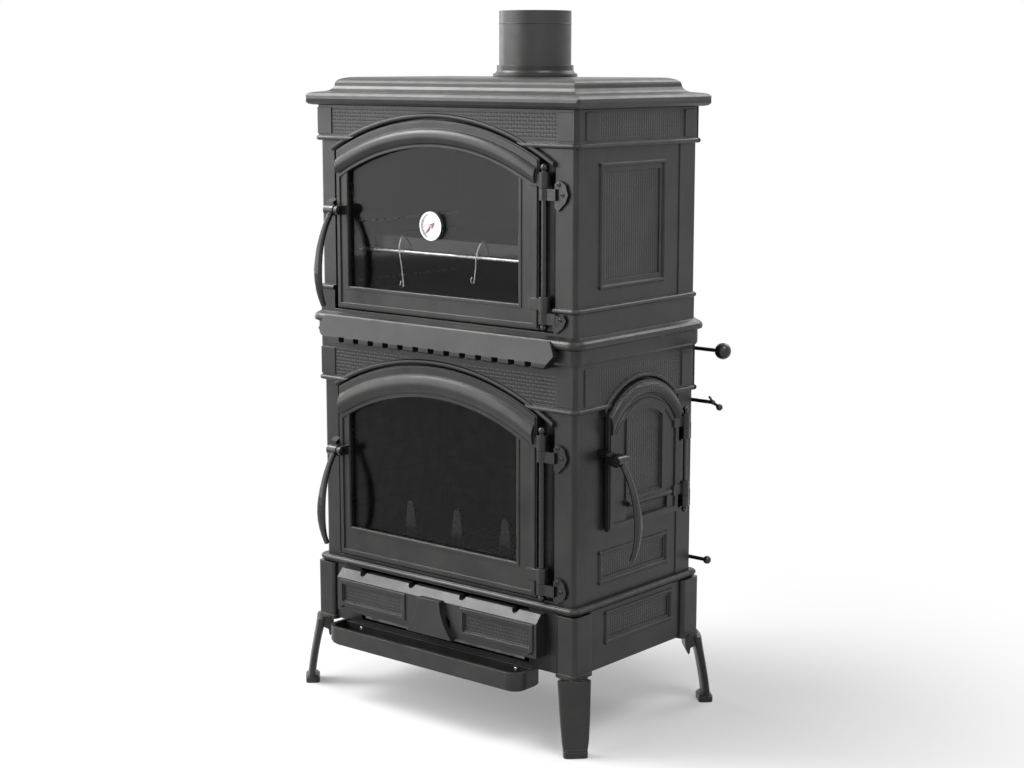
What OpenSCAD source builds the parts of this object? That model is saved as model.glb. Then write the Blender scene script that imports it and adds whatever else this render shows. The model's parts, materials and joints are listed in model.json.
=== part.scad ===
// Wood-burning stove with an oven above the firebox.
// X runs to the right, Y to the back and Z up; the origin is on the floor, midway between the feet.

/* [Body] */
// Width over the friezes
body_w = 690; // [640:1:760]
// Depth over the friezes
body_d = 404; // [370:1:450]
// How far the plain casting stands back behind the frieze
frieze_step = 5; // [3:0.5:8]
// Thickness of the cast walls
wall = 7; // [5:0.5:9]
// Depth of the recess that a front door closes into
seat_depth = 14; // [11:0.5:18]
// Radius of the upright corners
corner_r = 9; // [4:0.5:14]
// Height of the friezes above their moulding
frieze_h = 63; // [48:1:72]
// Radius of the half-round mouldings
bead_r = 5; // [3:0.5:6]

/* [Stages] */
// Underside of the base above the floor
leg_h = 149; // [120:1:180]
// Height of the base stage
base_h = 138; // [126:1:150]
// Height of the firebox stage
fire_h = 477; // [470:1:510]
// Height of the cornice between the stages
cornice_h = 54; // [46:1:64]
// Height of the oven stage
oven_h = 430; // [426:1:470]
// Height of the top slab
slab_h = 57; // [48:1:66]
// How far the cornice stands out
cornice_out = 16; // [10:1:22]
// How far the top slab stands out
slab_out = 18; // [12:1:26]

/* [Flue] */
// Outer diameter of the flue pipe
flue_d = 150; // [130:1:160]
// Sheet thickness of the flue pipe
flue_t = 2; // [1:0.25:3]
// Height of the flue pipe above the top slab
flue_h = 135; // [100:1:200]
// Distance of the flue behind the middle of the stove
flue_y = 97; // [80:1:102]
// Width of the flange of the flue collar
collar_flange = 13; // [9:1:18]

/* [Doors] */
// Depth of a cast door leaf
leaf_t = 14; // [12:0.5:17]
// Thickness of the door glass
glass_t = 4; // [3:0.5:5]
// How far the glass reaches past its opening
glass_lap = 8; // [6:0.5:9]
// Width of the rope gasket
gasket_w = 10; // [8:0.5:12]
// Free space between the gasket and its seat
gasket_gap = 0.3; // [0.2:0.05:0.5]
// Height of the raised arch band
band_out = 12; // [8:0.5:14]
// Distance from a front door to its hinge axis
hinge_off = 14; // [12:0.5:16]
// Diameter of the front hinge rods
rod_d = 12; // [8:0.5:14]
// Radial clearance of the hinge rods
rod_gap = 0.08; // [0.05:0.01:0.1]
// Wall of the hinge knuckles
knuckle_wall = 5; // [3:0.5:5]
// Length of a hinge knuckle
knuckle_h = 30; // [20:1:36]

/* [Oven door] */
// Width of the oven door
oven_door_w = 543; // [530:1:548]
// Height of the oven door to the top of its arch
oven_door_h = 394; // [380:1:400]
// Radius of the oven door's arch
oven_arch_r = 583; // [560:1:620]
// Middle of the oven door
oven_door_x = -16.5; // [-20:0.5:-14]
// Gap under the oven door
oven_sill = 10; // [8:1:14]
// Width of the oven door's free stile
oven_stile_l = 33; // [31:1:40]
// Width of the oven door's hinge stile
oven_stile_r = 50; // [44:1:60]
// Height of the oven door's bottom rail
oven_rail = 46; // [38:1:56]
// Height of the arch above the oven glass
oven_crown = 53; // [48:1:60]

/* [Fire door] */
// Width of the fire door
fire_door_w = 541; // [530:1:550]
// Height of the fire door to the top of its arch
fire_door_h = 431; // [415:1:436]
// Radius of the fire door's arch
fire_arch_r = 570; // [550:1:610]
// Middle of the fire door
fire_door_x = -19.5; // [-22:0.5:-17]
// Gap under the fire door
fire_sill = 9; // [7:1:13]
// Width of the fire door's free stile
fire_stile_l = 31; // [31:1:40]
// Width of the fire door's hinge stile
fire_stile_r = 51; // [44:1:60]
// Height of the fire door's bottom rail
fire_rail = 62; // [52:1:72]
// Height of the arch above the fire glass
fire_crown = 64; // [58:1:70]

/* [Side door] */
// Width of the side door
side_door_w = 236; // [220:1:240]
// Height of the side door to the top of its arch
side_door_h = 289; // [270:1:292]
// Radius of the side door's arch
side_arch_r = 150; // [140:1:170]
// Middle of the side door, behind the middle of the stove
side_door_y = 12; // [8:1:14]
// Height of the side door above the base
side_sill = 138; // [130:1:146]
// Thickness of the side door leaf
side_leaf_t = 9; // [7:0.5:11]
// Diameter of the side hinge rod
side_rod_d = 8; // [6:0.5:9]
// Distance from the side door to its hinge axis
side_hinge_off = 18; // [16:0.5:20]

/* [Handles] */
// Drop of a handle below its pivot
lever_drop = 196; // [160:1:205]
// How far a handle bows out
lever_bow = 44; // [36:1:60]
// Width of a handle
lever_w = 15; // [12:0.5:17]
// Distance of a handle's pivot from the door's face
pivot_out = 22; // [20:0.5:26]
// Diameter of the handle pins
pin_d = 9; // [7:0.5:10]
// Height of the oven handle's pivot above the door's lower edge
oven_pivot_h = 205; // [205:1:230]
// Height of the fire handle's pivot above the door's lower edge
fire_pivot_h = 229; // [215:1:250]
// Height of the side handle's pivot above the door's lower edge
side_pivot_h = 145; // [130:1:160]

/* [Thermometer] */
// Diameter of the thermometer case
dial_d = 58; // [48:1:64]
// Height of the thermometer above the oven door's lower edge
dial_h = 184; // [160:1:220]
// Depth of the thermometer case
dial_t = 9; // [7:0.5:12]

/* [Ash drawer] */
// Width of the drawer front
drawer_w = 548; // [520:1:560]
// Height of the drawer front
drawer_h = 88; // [80:1:96]
// How far the drawer front stands out
drawer_out = 30; // [24:1:36]
// Width of the ash pan
pan_w = 440; // [380:1:470]
// Length of the ash pan
pan_l = 320; // [280:1:340]
// Height of the ash pan
pan_h = 96; // [70:1:98]
// Sheet thickness of the ash pan
pan_t = 2; // [1.5:0.5:3]
// Running clearance of the ash drawer
drawer_gap = 0.3; // [0.2:0.05:0.5]
// Width of the ash lip
lip_w = 534; // [500:1:560]
// How far the ash lip stands out
lip_out = 66; // [56:1:80]
// Height of the ash lip
lip_h = 40; // [32:1:44]

/* [Legs] */
// Width of a leg's corner post
post_w = 50; // [42:1:54]
// Splay of a leg along its diagonal
leg_splay = 24; // [16:1:30]
// Width of a leg at the top
leg_w = 66; // [58:1:70]
// Width of a leg at the foot
foot_w = 48; // [42:1:54]
// Thickness of a leg
leg_t = 17; // [14:1:22]

/* [Oven] */
// Sheet thickness of the oven box
oven_wall = 3; // [2:0.5:4]
// Depth of the oven inside
oven_depth = 320; // [280:1:330]
// Height of the rack above the oven floor
rack_h = 92; // [60:1:120]
// Diameter of the rack's rim wire
rim_wire = 7; // [5:0.5:9]
// Diameter of the rack's cross wires
cross_wire = 4; // [3:0.5:5]
// Height of the drip tray
tray_h = 26; // [18:1:36]

/* [Firebox] */
// Height of the hearth plate above the base
hearth_h = 39; // [34:1:46]
// Thickness of the hearth plate
hearth_t = 8; // [6:0.5:10]
// Thickness of the firebox lining
liner_t = 15; // [12:1:20]
// Width of the grate
grate_w = 220; // [180:1:260]
// Length of the grate
grate_l = 170; // [140:1:190]
// Height of the log guard's fingers
finger_h = 100; // [80:1:112]
// Distance between the log guard's fingers
finger_pitch = 130; // [110:1:140]

/* [Controls] */
// Diameter of the control rods
control_d = 8; // [6:0.5:10]
// Distance of the control rods behind the back panel
control_out = 18; // [16:0.5:22]
// Radial clearance of the control rods
control_gap = 0.3; // [0.2:0.05:0.5]
// Diameter of the smoke damper's ball
ball_d = 34; // [28:1:40]
// Reach of the smoke damper's ball past the side
damper_reach = 56; // [46:1:70]
// Travel of the smoke damper
damper_travel = 55; // [40:1:60]
// Travel of the air slides
air_travel = 25; // [20:1:30]
// Distance of the rear shield behind the back panel
shield_out = 38; // [34:1:50]
// Thickness of the rear shield
shield_t = 2; // [1:0.5:3]

/* [Hidden] */
$fn = 72;

// Half sizes of the friezes and of the plain casting
hw = body_w / 2;
hd = body_d / 2;
bw = hw - frieze_step;
bd = hd - frieze_step;
// Planes of the front: frieze, plain casting, door seat and inner face
front_y = -hd;
face_y = -bd;
seat_y = face_y + seat_depth;
inner_y = seat_y + wall;
// Inner faces of the side and back castings
side_in = bw - wall;
back_in = bd - wall;
// Least height of wall over a front door, which raises its stage when the door is taller
door_head = 22;
// Levels of the stages
z_base = leg_h;
z_fire = z_base + base_h;
z_cornice = z_fire + max(fire_h, fire_sill + fire_door_h + door_head);
z_oven = z_cornice + cornice_h;
z_slab = z_oven + max(oven_h, oven_sill + oven_door_h + door_head);
z_top = z_slab + slab_h;
lower_frieze_z = z_cornice - frieze_h - 22;
upper_frieze_z = z_slab - frieze_h;
// Recess of each front door, with room for the latch on its left and the hinge on its right
oven_recess = [oven_door_x - oven_door_w / 2 - 11, oven_door_x + oven_door_w / 2 + 36];
fire_recess = [fire_door_x - fire_door_w / 2 - 9, fire_door_x + fire_door_w / 2 + 40];
door_gap = 4;
// Where a leaf lies
gasket_t = 5.5;
leaf_back = seat_y - gasket_gap - gasket_t;
leaf_front = leaf_back - leaf_t;
oven_door_z = z_oven + oven_sill;
fire_door_z = z_fire + fire_sill;
side_door_z = z_fire + side_sill;
seat_lap = 20;
// Hinge axes
hinge_y = leaf_front - 1;
oven_hinge_x = oven_door_x + oven_door_w / 2 + hinge_off;
fire_hinge_x = fire_door_x + fire_door_w / 2 + hinge_off;
knuckle_r = rod_d / 2 + rod_gap + knuckle_wall;
side_gasket_t = 4;
side_leaf_in = bw + gasket_gap + side_gasket_t;
side_leaf_out = side_leaf_in + side_leaf_t;
side_knuckle_r = side_rod_d / 2 + rod_gap + knuckle_wall;
side_hinge_x = side_leaf_out + 4;
side_hinge_y = side_door_y + side_door_w / 2 + side_hinge_off;
// Heights of the hinges along each door, from its lower edge to a knuckle's middle
oven_hinges = [50, oven_door_h - 107];
fire_hinges = [46, fire_door_h - 119];
side_hinges = [46, side_door_h - 102];
// Control rods
control_y = bd + control_out;
damper_z = z_cornice - 12;
secondary_z = z_cornice - 121;
primary_z = z_fire + 20;
air_pitch = 2 * air_travel;
// Colours
iron = "#46464a";
dark_iron = "#2b2b2e";
steel = "#b9bbbd";
black = "#161617";

// A block between two opposite corners
module block(lo, hi) {
  translate(lo) cube(hi - lo);
}

// A rectangle between two opposite corners
module rect(lo, hi) {
  translate(lo) square(hi - lo);
}

// An outline drawn in X and Z that fills y0 to y1
module front_slab(y0, y1) {
  translate([0, y1, 0]) rotate([90, 0, 0]) linear_extrude(y1 - y0) children();
}

// An outline drawn in Y and Z that fills x0 to x1
module side_slab(x0, x1) {
  translate([x0, 0, 0]) rotate([90, 0, 90]) linear_extrude(x1 - x0) children();
}

// An outline with upright sides and a segmental arch
module arch(middle, w, z0, z1, r) {
  intersection() {
    rect([middle - w / 2, z0], [middle + w / 2, z1 + 1]);
    union() {
      translate([middle, z1 - r]) circle(r, $fn = 180);
      rect([middle - w / 2, z0 - 1], [middle + w / 2, max(z0, z1 - r)]);
    }
  }
}

// A rectangle with round corners
module round_rect(half_w, half_d, r) {
  square([2 * (half_w - r), 2 * half_d], center = true);
  square([2 * half_w, 2 * (half_d - r)], center = true);
  for (sx = [-1, 1], sy = [-1, 1]) translate([sx * (half_w - r), sy * (half_d - r)]) circle(r);
}

// An upright prism with round corners
module round_prism(half_w, half_d, r, z0, z1) {
  translate([0, 0, z0]) linear_extrude(z1 - z0) round_rect(half_w, half_d, r);
}

// Points of a half-round edge as pairs of reach and level
function half_round(z, r) = [for (i = [0:6]) [r * cos(30 * i - 90), z + r * sin(30 * i - 90)]];

// A profile mirrored about the middle plane
function both_sides(half, p) = concat(
  [for (q = p) [half + q[0], q[1]]],
  [for (i = [len(p) - 1:-1:0]) [-half - p[i][0], p[i][1]]]
);

// A slab whose edge follows a profile round corners of radius r
module moulded_slab(half_w, half_d, r, p) {
  side_slab(r - half_w, half_w - r) polygon(both_sides(half_d, p));
  front_slab(r - half_d, half_d - r) polygon(both_sides(half_w, p));
  for (sx = [-1, 1], sy = [-1, 1]) translate([sx * (half_w - r), sy * (half_d - r), 0])
    rotate_extrude() polygon(concat([[0, p[0][1]]], [for (q = p) [r + q[0], q[1]]], [[0, p[len(p) - 1][1]]]));
}

// A slab whose edge follows a profile and meets in mitres at the corners
module mitred_slab(half_w, half_d, p) {
  intersection() {
    side_slab(-half_w - 60, half_w + 60) polygon(both_sides(half_d, p));
    front_slab(-half_d - 60, half_d + 60) polygon(both_sides(half_w, p));
  }
}

// A rectangular moulding of round section on a side wall
module side_frame(x, y0, y1, z0, z1, r) {
  for (z = [z0, z1]) translate([x, y0 - r, z]) rotate([-90, 0, 0]) cylinder(h = y1 - y0 + 2 * r, r = r, $fn = 24);
  for (y = [y0, y1]) translate([x, y, z0 - r]) cylinder(h = z1 - z0 + 2 * r, r = r, $fn = 24);
}

// The whole outside of a stage, from which each wall takes its share
module stage_solid(z0, z1, frieze_z, r) {
  round_prism(bw, bd, r, z0, z1);
  round_prism(hw, hd, corner_r, frieze_z, z1);
  moulded_slab(hw, hd, corner_r, half_round(frieze_z - bead_r, bead_r));
}

// The front wall of a stage with its recess and door opening
module front_wall(z0, z1, frieze_z, recess, middle, w, door_z, crown, r) {
  difference() {
    intersection() {
      union() {
        stage_solid(z0, z1, frieze_z, corner_r);
        children();
      }
      block([-hw - 20, -hd - 20, z0], [hw + 20, inner_y, z1]);
    }
    front_slab(-hd - 30, seat_y) intersection() {
      rect([recess[0], door_z - door_gap], [recess[1], crown + r]);
      translate([middle, crown - r]) circle(r + door_gap, $fn = 180);
    }
    front_slab(seat_y - 1, inner_y + 1) arch(middle, w - 2 * seat_lap, door_z + seat_lap, crown - seat_lap, r - seat_lap);
    for (side = [[recess[1] + wall, side_in], [-side_in, recess[0] - wall]])
      block([side[0], face_y + wall, z0 + wall], [side[1], inner_y + 1, frieze_z - 2 * bead_r]);
  }
  intersection() {
    translate([middle, front_y + 1, crown - r]) rotate([90, 0, 0])
      rotate_extrude($fn = 180) translate([r + door_gap + bead_r, 0]) circle(bead_r, $fn = 24);
    block([recess[0], -hd - 20, door_z + 0.6 * (crown - door_z)], [recess[1], face_y + 2, z1 + bead_r]);
  }
}

// A side wall of a stage; side is 1 on the right and -1 on the left
module side_wall(side, z0, z1, frieze_z, r) {
  intersection() {
    union() {
      stage_solid(z0, z1, frieze_z, r);
      children();
    }
    if (side > 0) block([side_in, inner_y, z0], [hw + 20, back_in, z1]);
    else block([-hw - 20, inner_y, z0], [-side_in, back_in, z1]);
  }
}

// The back wall of a stage
module back_wall(z0, z1, frieze_z, r) {
  difference() {
    intersection() {
      stage_solid(z0, z1, frieze_z, r);
      block([-hw - 20, back_in, z0], [hw + 20, hd + 20, z1]);
    }
    block([-hw + 42, bd, z0 - 1], [hw - 42, hd + 20, z1 + 1]);
  }
}

// Edge of the top slab: bullnose, ledge, hollow riser and rounded shoulder
slab_nose = 13;
slab_profile = concat(
  [[2, z_slab]],
  [for (i = [0:6]) [slab_out - slab_nose + slab_nose * cos(30 * i - 90), z_slab + slab_nose + slab_nose * sin(30 * i - 90)]],
  [for (i = [0:4]) [slab_out - 30 - 16 * sin(22.5 * i), z_slab + 2 * slab_nose + 2 + (slab_h - 2 * slab_nose - 14) * (1 - cos(22.5 * i))]],
  [for (i = [1:5]) [slab_out - 46 - 30 * (1 - cos(18 * i)), z_top - 12 + 12 * sin(18 * i)]]
);

module top_slab() {
  color(iron) difference() {
    intersection() {
      mitred_slab(hw, hd, slab_profile);
      round_prism(hw + slab_out, hd + slab_out, corner_r, z_slab, z_top);
    }
    block([-side_in + 45, -bd + 55, z_slab - 1], [side_in - 45, bd - 55, z_top - 10]);
    translate([0, flue_y, z_slab]) cylinder(h = slab_h + 1, d = flue_d - flue_t);
  }
}

module flue_collar() {
  color(iron) translate([0, flue_y, z_top]) rotate_extrude() polygon([
    [flue_d / 2, 0], [flue_d / 2 + collar_flange, 0], [flue_d / 2 + collar_flange, 6],
    [flue_d / 2 + 7, 9], [flue_d / 2 + 5, 13], [flue_d / 2 + 5, 24], [flue_d / 2, 24]
  ]);
}

module flue_pipe() {
  color(dark_iron) translate([0, flue_y, z_top]) difference() {
    cylinder(h = flue_h, d = flue_d);
    translate([0, 0, -1]) cylinder(h = flue_h + 2, d = flue_d - 2 * flue_t);
  }
}

// Height of the plinth round the oven stage
plinth_h = 55;

module oven_plinth() {
  round_prism(hw, hd, corner_r, z_oven, z_oven + plinth_h - 2 * bead_r);
  moulded_slab(hw, hd, corner_r, half_round(z_oven + plinth_h - bead_r, bead_r));
}

// Raised squares at the ends of a frieze, on the front and along a side
module front_tiles(recess, z0, z1) {
  for (x = [-hw + 5, recess[1] + 9])
    front_slab(front_y - 2, front_y + 1) rect([x, z0 + 4], [x + hw - recess[1] - 14, z1 - 5]);
}

module side_tiles(side, z0, z1) {
  for (y = [inner_y + 2, back_in - 42])
    side_slab(side > 0 ? hw - 1 : -hw - 2, side > 0 ? hw + 2 : -hw + 1) rect([y, z0 + 4], [y + 36, z1 - 5]);
}

// A flat strip 2 thick at the back of a side wall
module side_pilaster(side, y, z0, z1) {
  side_slab(side > 0 ? bw - 1 : -bw - 2, side > 0 ? bw + 2 : -bw + 1) rect([y, z0], [back_in + 1, z1]);
}

module upper_front() {
  color(iron) {
    front_wall(z_oven, z_slab, upper_frieze_z, oven_recess,
      oven_door_x, oven_door_w, oven_door_z, oven_door_z + oven_door_h, oven_arch_r) {
      oven_plinth();
      front_tiles(oven_recess, upper_frieze_z, z_slab);
    }
  }
}

// Where the framed panel of an upper side wall lies
panel_y0 = -120;
panel_y1 = 86;

module upper_right_side() {
  color(iron) difference() {
    union() {
      side_wall(1, z_oven, z_slab, upper_frieze_z, corner_r) {
        oven_plinth();
        side_tiles(1, upper_frieze_z, z_slab);
        side_pilaster(1, back_in - 52, z_oven + plinth_h - 3, upper_frieze_z - 2 * bead_r + 3);
      }
      intersection() {
        side_frame(bw, panel_y0, panel_y1, z_oven + 90, z_slab - 105, 4);
        block([-hw, inner_y, z_oven], [hw, back_in, z_slab]);
      }
    }
    side_slab(bw - 2, bw + 1) rect([panel_y0 + 14, z_oven + 104], [panel_y1 - 14, z_slab - 119]);
    block([-side_in, inner_y - 1, z_oven - 1], [side_in, back_in + 1, z_slab + 1]);
  }
}

module upper_left_side() {
  mirror([1, 0, 0]) upper_right_side();
}

module upper_back() {
  color(dark_iron) {
    back_wall(z_oven, z_slab, upper_frieze_z, corner_r);
    for (x = [-120, 120]) front_slab(bd - 1, bd + 4) rect([x - 8, z_oven + 30], [x + 8, upper_frieze_z - 20]);
  }
}

// Edge of the cornice between the stages
cornice_profile = [
  [0, z_cornice], [3, z_cornice], [6, z_cornice + 5], [6, z_oven - 24], [cornice_out - 1, z_oven - 20],
  [cornice_out, z_oven - 15], [cornice_out - 1, z_oven - 10], [cornice_out - 5, z_oven - 6], [3, z_oven - 2], [0, z_oven]
];
// Ports of the smoke damper in the cornice plate
port_pitch = 2 * damper_travel;
port_w = damper_travel - 6;
port_y0 = bd - 77;
port_y1 = bd - 27;
plate_gap = 0.3;
rail_x = 210;

module cornice_plate() {
  color(iron) difference() {
    union() {
      moulded_slab(hw, hd, corner_r + 2, cornice_profile);
      for (y = [port_y0 - 8, port_y1 + 2]) block([-rail_x, y, z_cornice - 13], [rail_x, y + 6, z_cornice + 1]);
      block([-rail_x, port_y0 - 8, z_cornice - 13], [rail_x, port_y0 + 4, z_cornice - 7.5]);
      block([-rail_x, port_y1 - 4, z_cornice - 13], [rail_x, port_y1 + 8, z_cornice - 7.5]);
    }
    block([-side_in, inner_y, z_cornice + 10], [side_in, back_in, z_oven + 1]);
    for (i = [-1:1]) block([i * port_pitch - port_w / 2, port_y0 + 5, z_cornice - 1], [i * port_pitch + port_w / 2, port_y1 - 5, z_cornice + 11]);
    block([-33, port_y1 + 1, z_cornice - 7.4], [damper_travel - 5, port_y1 + 9, z_cornice]);
  }
}

// Hood over the front of the cornice, with a row of vents along its lower edge
hood_top = z_oven - 7;
hood_foot = z_cornice - 7;
hood_out = cornice_out + 14;
vent_count = 13;
vent_pitch = (body_w - 144) / vent_count;
vent_w = 16;

module front_hood() {
  nose = cornice_out + 0.5;
  color(iron) difference() {
    intersection() {
      side_slab(-hw, hw) polygon([
        [front_y - nose - 4, hood_top], [front_y - hood_out, hood_foot + 11], [front_y - hood_out, hood_foot + 4],
        [front_y - hood_out + 4, hood_foot], [front_y - 6, hood_foot], [front_y - 6, z_oven - 28],
        [front_y - nose, z_oven - 21], [front_y - nose, hood_top]
      ]);
      front_slab(front_y - hood_out - 1, front_y + 1) polygon([
        [36 - hw, hood_top + 1], [22 - hw, hood_foot + 26], [36 - hw, hood_foot + 13], [66 - hw, hood_foot - 1],
        [hw - 58, hood_foot - 1], [hw - 34, hood_foot + 27], [hw - 48, hood_top + 1]
      ]);
    }
    for (i = [0:vent_count - 1]) translate([vent_pitch * (i - (vent_count - 1) / 2) - vent_w / 2, front_y - hood_out - 1, hood_foot - 1])
      cube([vent_w, hood_out, 13]);
  }
}

module lower_front() {
  color(iron) front_wall(z_fire, z_cornice, lower_frieze_z, fire_recess,
    fire_door_x, fire_door_w, fire_door_z, fire_door_z + fire_door_h, fire_arch_r)
    front_tiles(fire_recess, lower_frieze_z, z_cornice - 19);
}

// A raised frame with a sunk field, on the plain part of a side wall
module panel_frame(side, y0, y1, z0, z1) {
  intersection() {
    side_frame(side * bw, y0, y1, z0, z1, 4);
    block([-hw - 9, inner_y, z_base], [hw + 9, back_in, z_slab]);
  }
}

module panel_field(side, y0, y1, z0, z1) {
  side_slab(side > 0 ? bw - 2 : -bw - 1, side > 0 ? bw + 1 : -bw + 2) rect([y0 + 9, z0 + 9], [y1 - 9, z1 - 9]);
}

module lower_side(side) {
  difference() {
    union() {
      side_wall(side, z_fire, z_cornice, lower_frieze_z, corner_r) {
        side_tiles(side, lower_frieze_z, z_cornice - 4);
        side_pilaster(side, side_hinge_y - 6, z_fire, lower_frieze_z - 2 * bead_r + 1);
      }
      panel_frame(side, -115, 109, z_fire + 35, z_fire + 95);
    }
    panel_field(side, -115, 109, z_fire + 35, z_fire + 95);
    block([-side_in, inner_y - 1, z_fire - 1], [side_in, back_in + 1, z_cornice + 1]);
  }
}

module lower_left_side() {
  color(iron) difference() {
    union() {
      lower_side(-1);
      panel_frame(-1, -115, 109, z_fire + 125, lower_frieze_z - 35);
    }
    panel_field(-1, -115, 109, z_fire + 125, lower_frieze_z - 35);
    block([-side_in, inner_y - 1, z_fire - 1], [side_in, back_in + 1, z_cornice + 1]);
  }
}

side_crown = side_door_z + side_door_h;

module lower_right_side() {
  color(iron) {
    difference() {
      lower_side(1);
      side_slab(side_in - 1, bw + 5) arch(side_door_y, side_door_w - 2 * seat_lap, side_door_z + seat_lap, side_crown - seat_lap, side_arch_r - seat_lap);
      side_slab(bw, hw + 20) arch(side_door_y, side_door_w + 2 * door_gap, side_door_z - door_gap, side_crown + door_gap, side_arch_r + door_gap);
    }
    intersection() {
      translate([hw, side_door_y, side_crown - side_arch_r]) rotate([0, 90, 0])
        rotate_extrude($fn = 120) translate([side_arch_r + door_gap + bead_r, 0]) circle(bead_r, $fn = 24);
      block([bw - 2, side_door_y - side_door_w / 2 - 6, side_crown - 60], [hw + 20, side_door_y + side_door_w / 2 - 6, side_crown + 30]);
    }
  }
}

// Air ports low and high in the firebox back
module air_ports(z) {
  for (i = [-1:1]) block([i * air_pitch - 12, back_in - 1, z - 9], [i * air_pitch + 12, bd + 1, z + 9]);
}

module lower_back() {
  color(dark_iron) difference() {
    back_wall(z_fire, z_cornice, lower_frieze_z, corner_r);
    air_ports(primary_z);
    air_ports(secondary_z);
    block([-32, back_in - 1, z_cornice - 10], [-8 + damper_travel + 4, hd + 20, z_cornice + 1]);
  }
}

// Sheet that keeps the heat off the wall behind, on bosses
module rear_shield() {
  y0 = bd + shield_out;
  slot_pitch = (hw - 25) / 4;
  color(dark_iron) {
    difference() {
      front_slab(y0, y0 + shield_t) rect([45 - hw, z_fire - 90], [hw - 45, z_slab - 30]);
      for (i = [-2.5:2.5], z = [z_fire + 140, z_slab - 130]) front_slab(y0 - 1, y0 + shield_t + 1)
        rect([i * slot_pitch - 25, z], [i * slot_pitch + 25, z + 10]);
    }
    for (x = [80 - hw, hw - 80], z = [z_fire + 60, z_cornice - 227, z_oven + 60, z_slab - 100])
      translate([x, bd, z]) rotate([-90, 0, 0]) cylinder(h = shield_out, d = 14);
  }
}

// Eyes that carry the three control rods, and the strips that hold the air slides
module rod_guides() {
  color(dark_iron) {
    for (z = [damper_z, secondary_z, primary_z], x = [hw - 195, hw - 55]) difference() {
      block([x - 6, bd, z - 10], [x + 6, control_y + 10, z + 10]);
      translate([x - 7, control_y, z]) rotate([0, 90, 0]) cylinder(h = 14, d = control_d + 2 * control_gap);
    }
    for (z = [secondary_z, primary_z], s = [-1, 1]) {
      block([-2 * air_pitch, bd, z + (s > 0 ? 14.3 : -20)], [2.5 * air_pitch, bd + 4, z + (s > 0 ? 20 : -14.3)]);
      block([-2 * air_pitch, bd + 3.6, z + (s > 0 ? 11 : -20)], [2.5 * air_pitch, bd + 6, z + (s > 0 ? 20 : -11)]);
    }
  }
}

// Corner posts stand under the flange of the base
flange_h = 12;
post_gap = 0.3;
post_out = 9;

module base_frame() {
  color(iron) difference() {
    union() {
      moulded_slab(hw + post_out - 5, hd + post_out - 5, corner_r + 3,
        concat([[-3, z_fire - flange_h - 4], [2, z_fire - flange_h]], half_round(z_fire - bead_r - 1, bead_r), [[0, z_fire]]));
      round_prism(hw, hd, corner_r + 3, z_base, z_fire - flange_h);
      intersection() {
        union() for (s = [-1, 1]) side_frame(s * hw, -100, 120, z_base + 49, z_base + 109, 4);
        block([-hw - 9, -150, z_base], [hw + 9, 150, z_fire - flange_h]);
      }
    }
    block([-hw + 8, -hd + 8, z_base - 1], [hw - 8, hd - 8, z_fire - flange_h]);
    block([-side_in + 10, inner_y, z_fire - flange_h - 1], [side_in - 10, back_in - 4, z_fire + 1]);
    for (s = [-1, 1]) side_slab(s > 0 ? hw - 2 : -hw - 1, s > 0 ? hw + 1 : -hw + 2) rect([-91, z_base + 58], [111, z_base + 100]);
    for (sx = [-1, 1], sy = [-1, 1]) corner_space(sx, sy);
    block([-pan_w / 2 - 12, -hd - 20, z_base + 8], [pan_w / 2 + 12, -hd + 9, z_fire - flange_h]);
  }
}

// Room for a corner post, wider at the bottom for its collar
module corner_space(sx, sy) {
  for (step = [[0, z_fire - flange_h - 4], [2, z_base + 5.3]]) {
    x = hw + post_out - post_w - post_gap - step[0];
    y = hd + post_out - post_w - 8 - post_gap - step[0];
    block([sx > 0 ? x : -x - 80, sy > 0 ? y : -y - 80, z_base - 5], [sx > 0 ? x + 80 : -x, sy > 0 ? y + 80 : -y, step[1]]);
  }
}

module base_plate() {
  color(dark_iron) {
    difference() {
      block([-hw + 8, -hd + 8, z_base], [hw - 8, hd - 8, z_base + 6]);
      for (sx = [-1, 1], sy = [-1, 1]) corner_space(sx, sy);
    }
    for (s = [-1, 1]) block([s * (pan_w / 2 - 14) - 4, -hd + 12, z_base + 6], [s * (pan_w / 2 - 14) + 4, hd - 20, z_base + 13]);
  }
}

// Shallow tray that catches ash in front of the drawer
lip_top = z_base + 3;

lip_r = min(32, lip_out / 2 - 1);
lip_x = -11;

module lip_outline(inset) {
  r = lip_r - inset;
  x = lip_w / 2 - inset;
  y = front_y - lip_out + inset;
  rect([-x, y + r], [x, front_y]);
  rect([-x + r, y], [x - r, front_y]);
  for (s = [-1, 1]) translate([s * (x - r), y + r]) circle(r);
}

module ash_lip() {
  floor_z = lip_top - lip_h;
  color(iron) translate([lip_x, 0, 0]) {
    difference() {
      union() {
        translate([0, 0, floor_z + 8]) linear_extrude(lip_h - 8) lip_outline(0);
        translate([0, 0, floor_z]) linear_extrude(9) lip_outline(9);
        translate([0, 0, floor_z + 4]) linear_extrude(9) lip_outline(3);
      }
      translate([0, 0, floor_z + 14]) linear_extrude(lip_h) lip_outline(8);
    }
    block([3 - lip_w / 2, front_y - 8, floor_z + 6], [lip_w / 2 - 3, front_y, z_base]);
    for (s = [-1, 1]) block([s * 200 - 20, front_y - 4, z_base - 8], [s * 200 + 20, front_y + 80, z_base]);
  }
}

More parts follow.
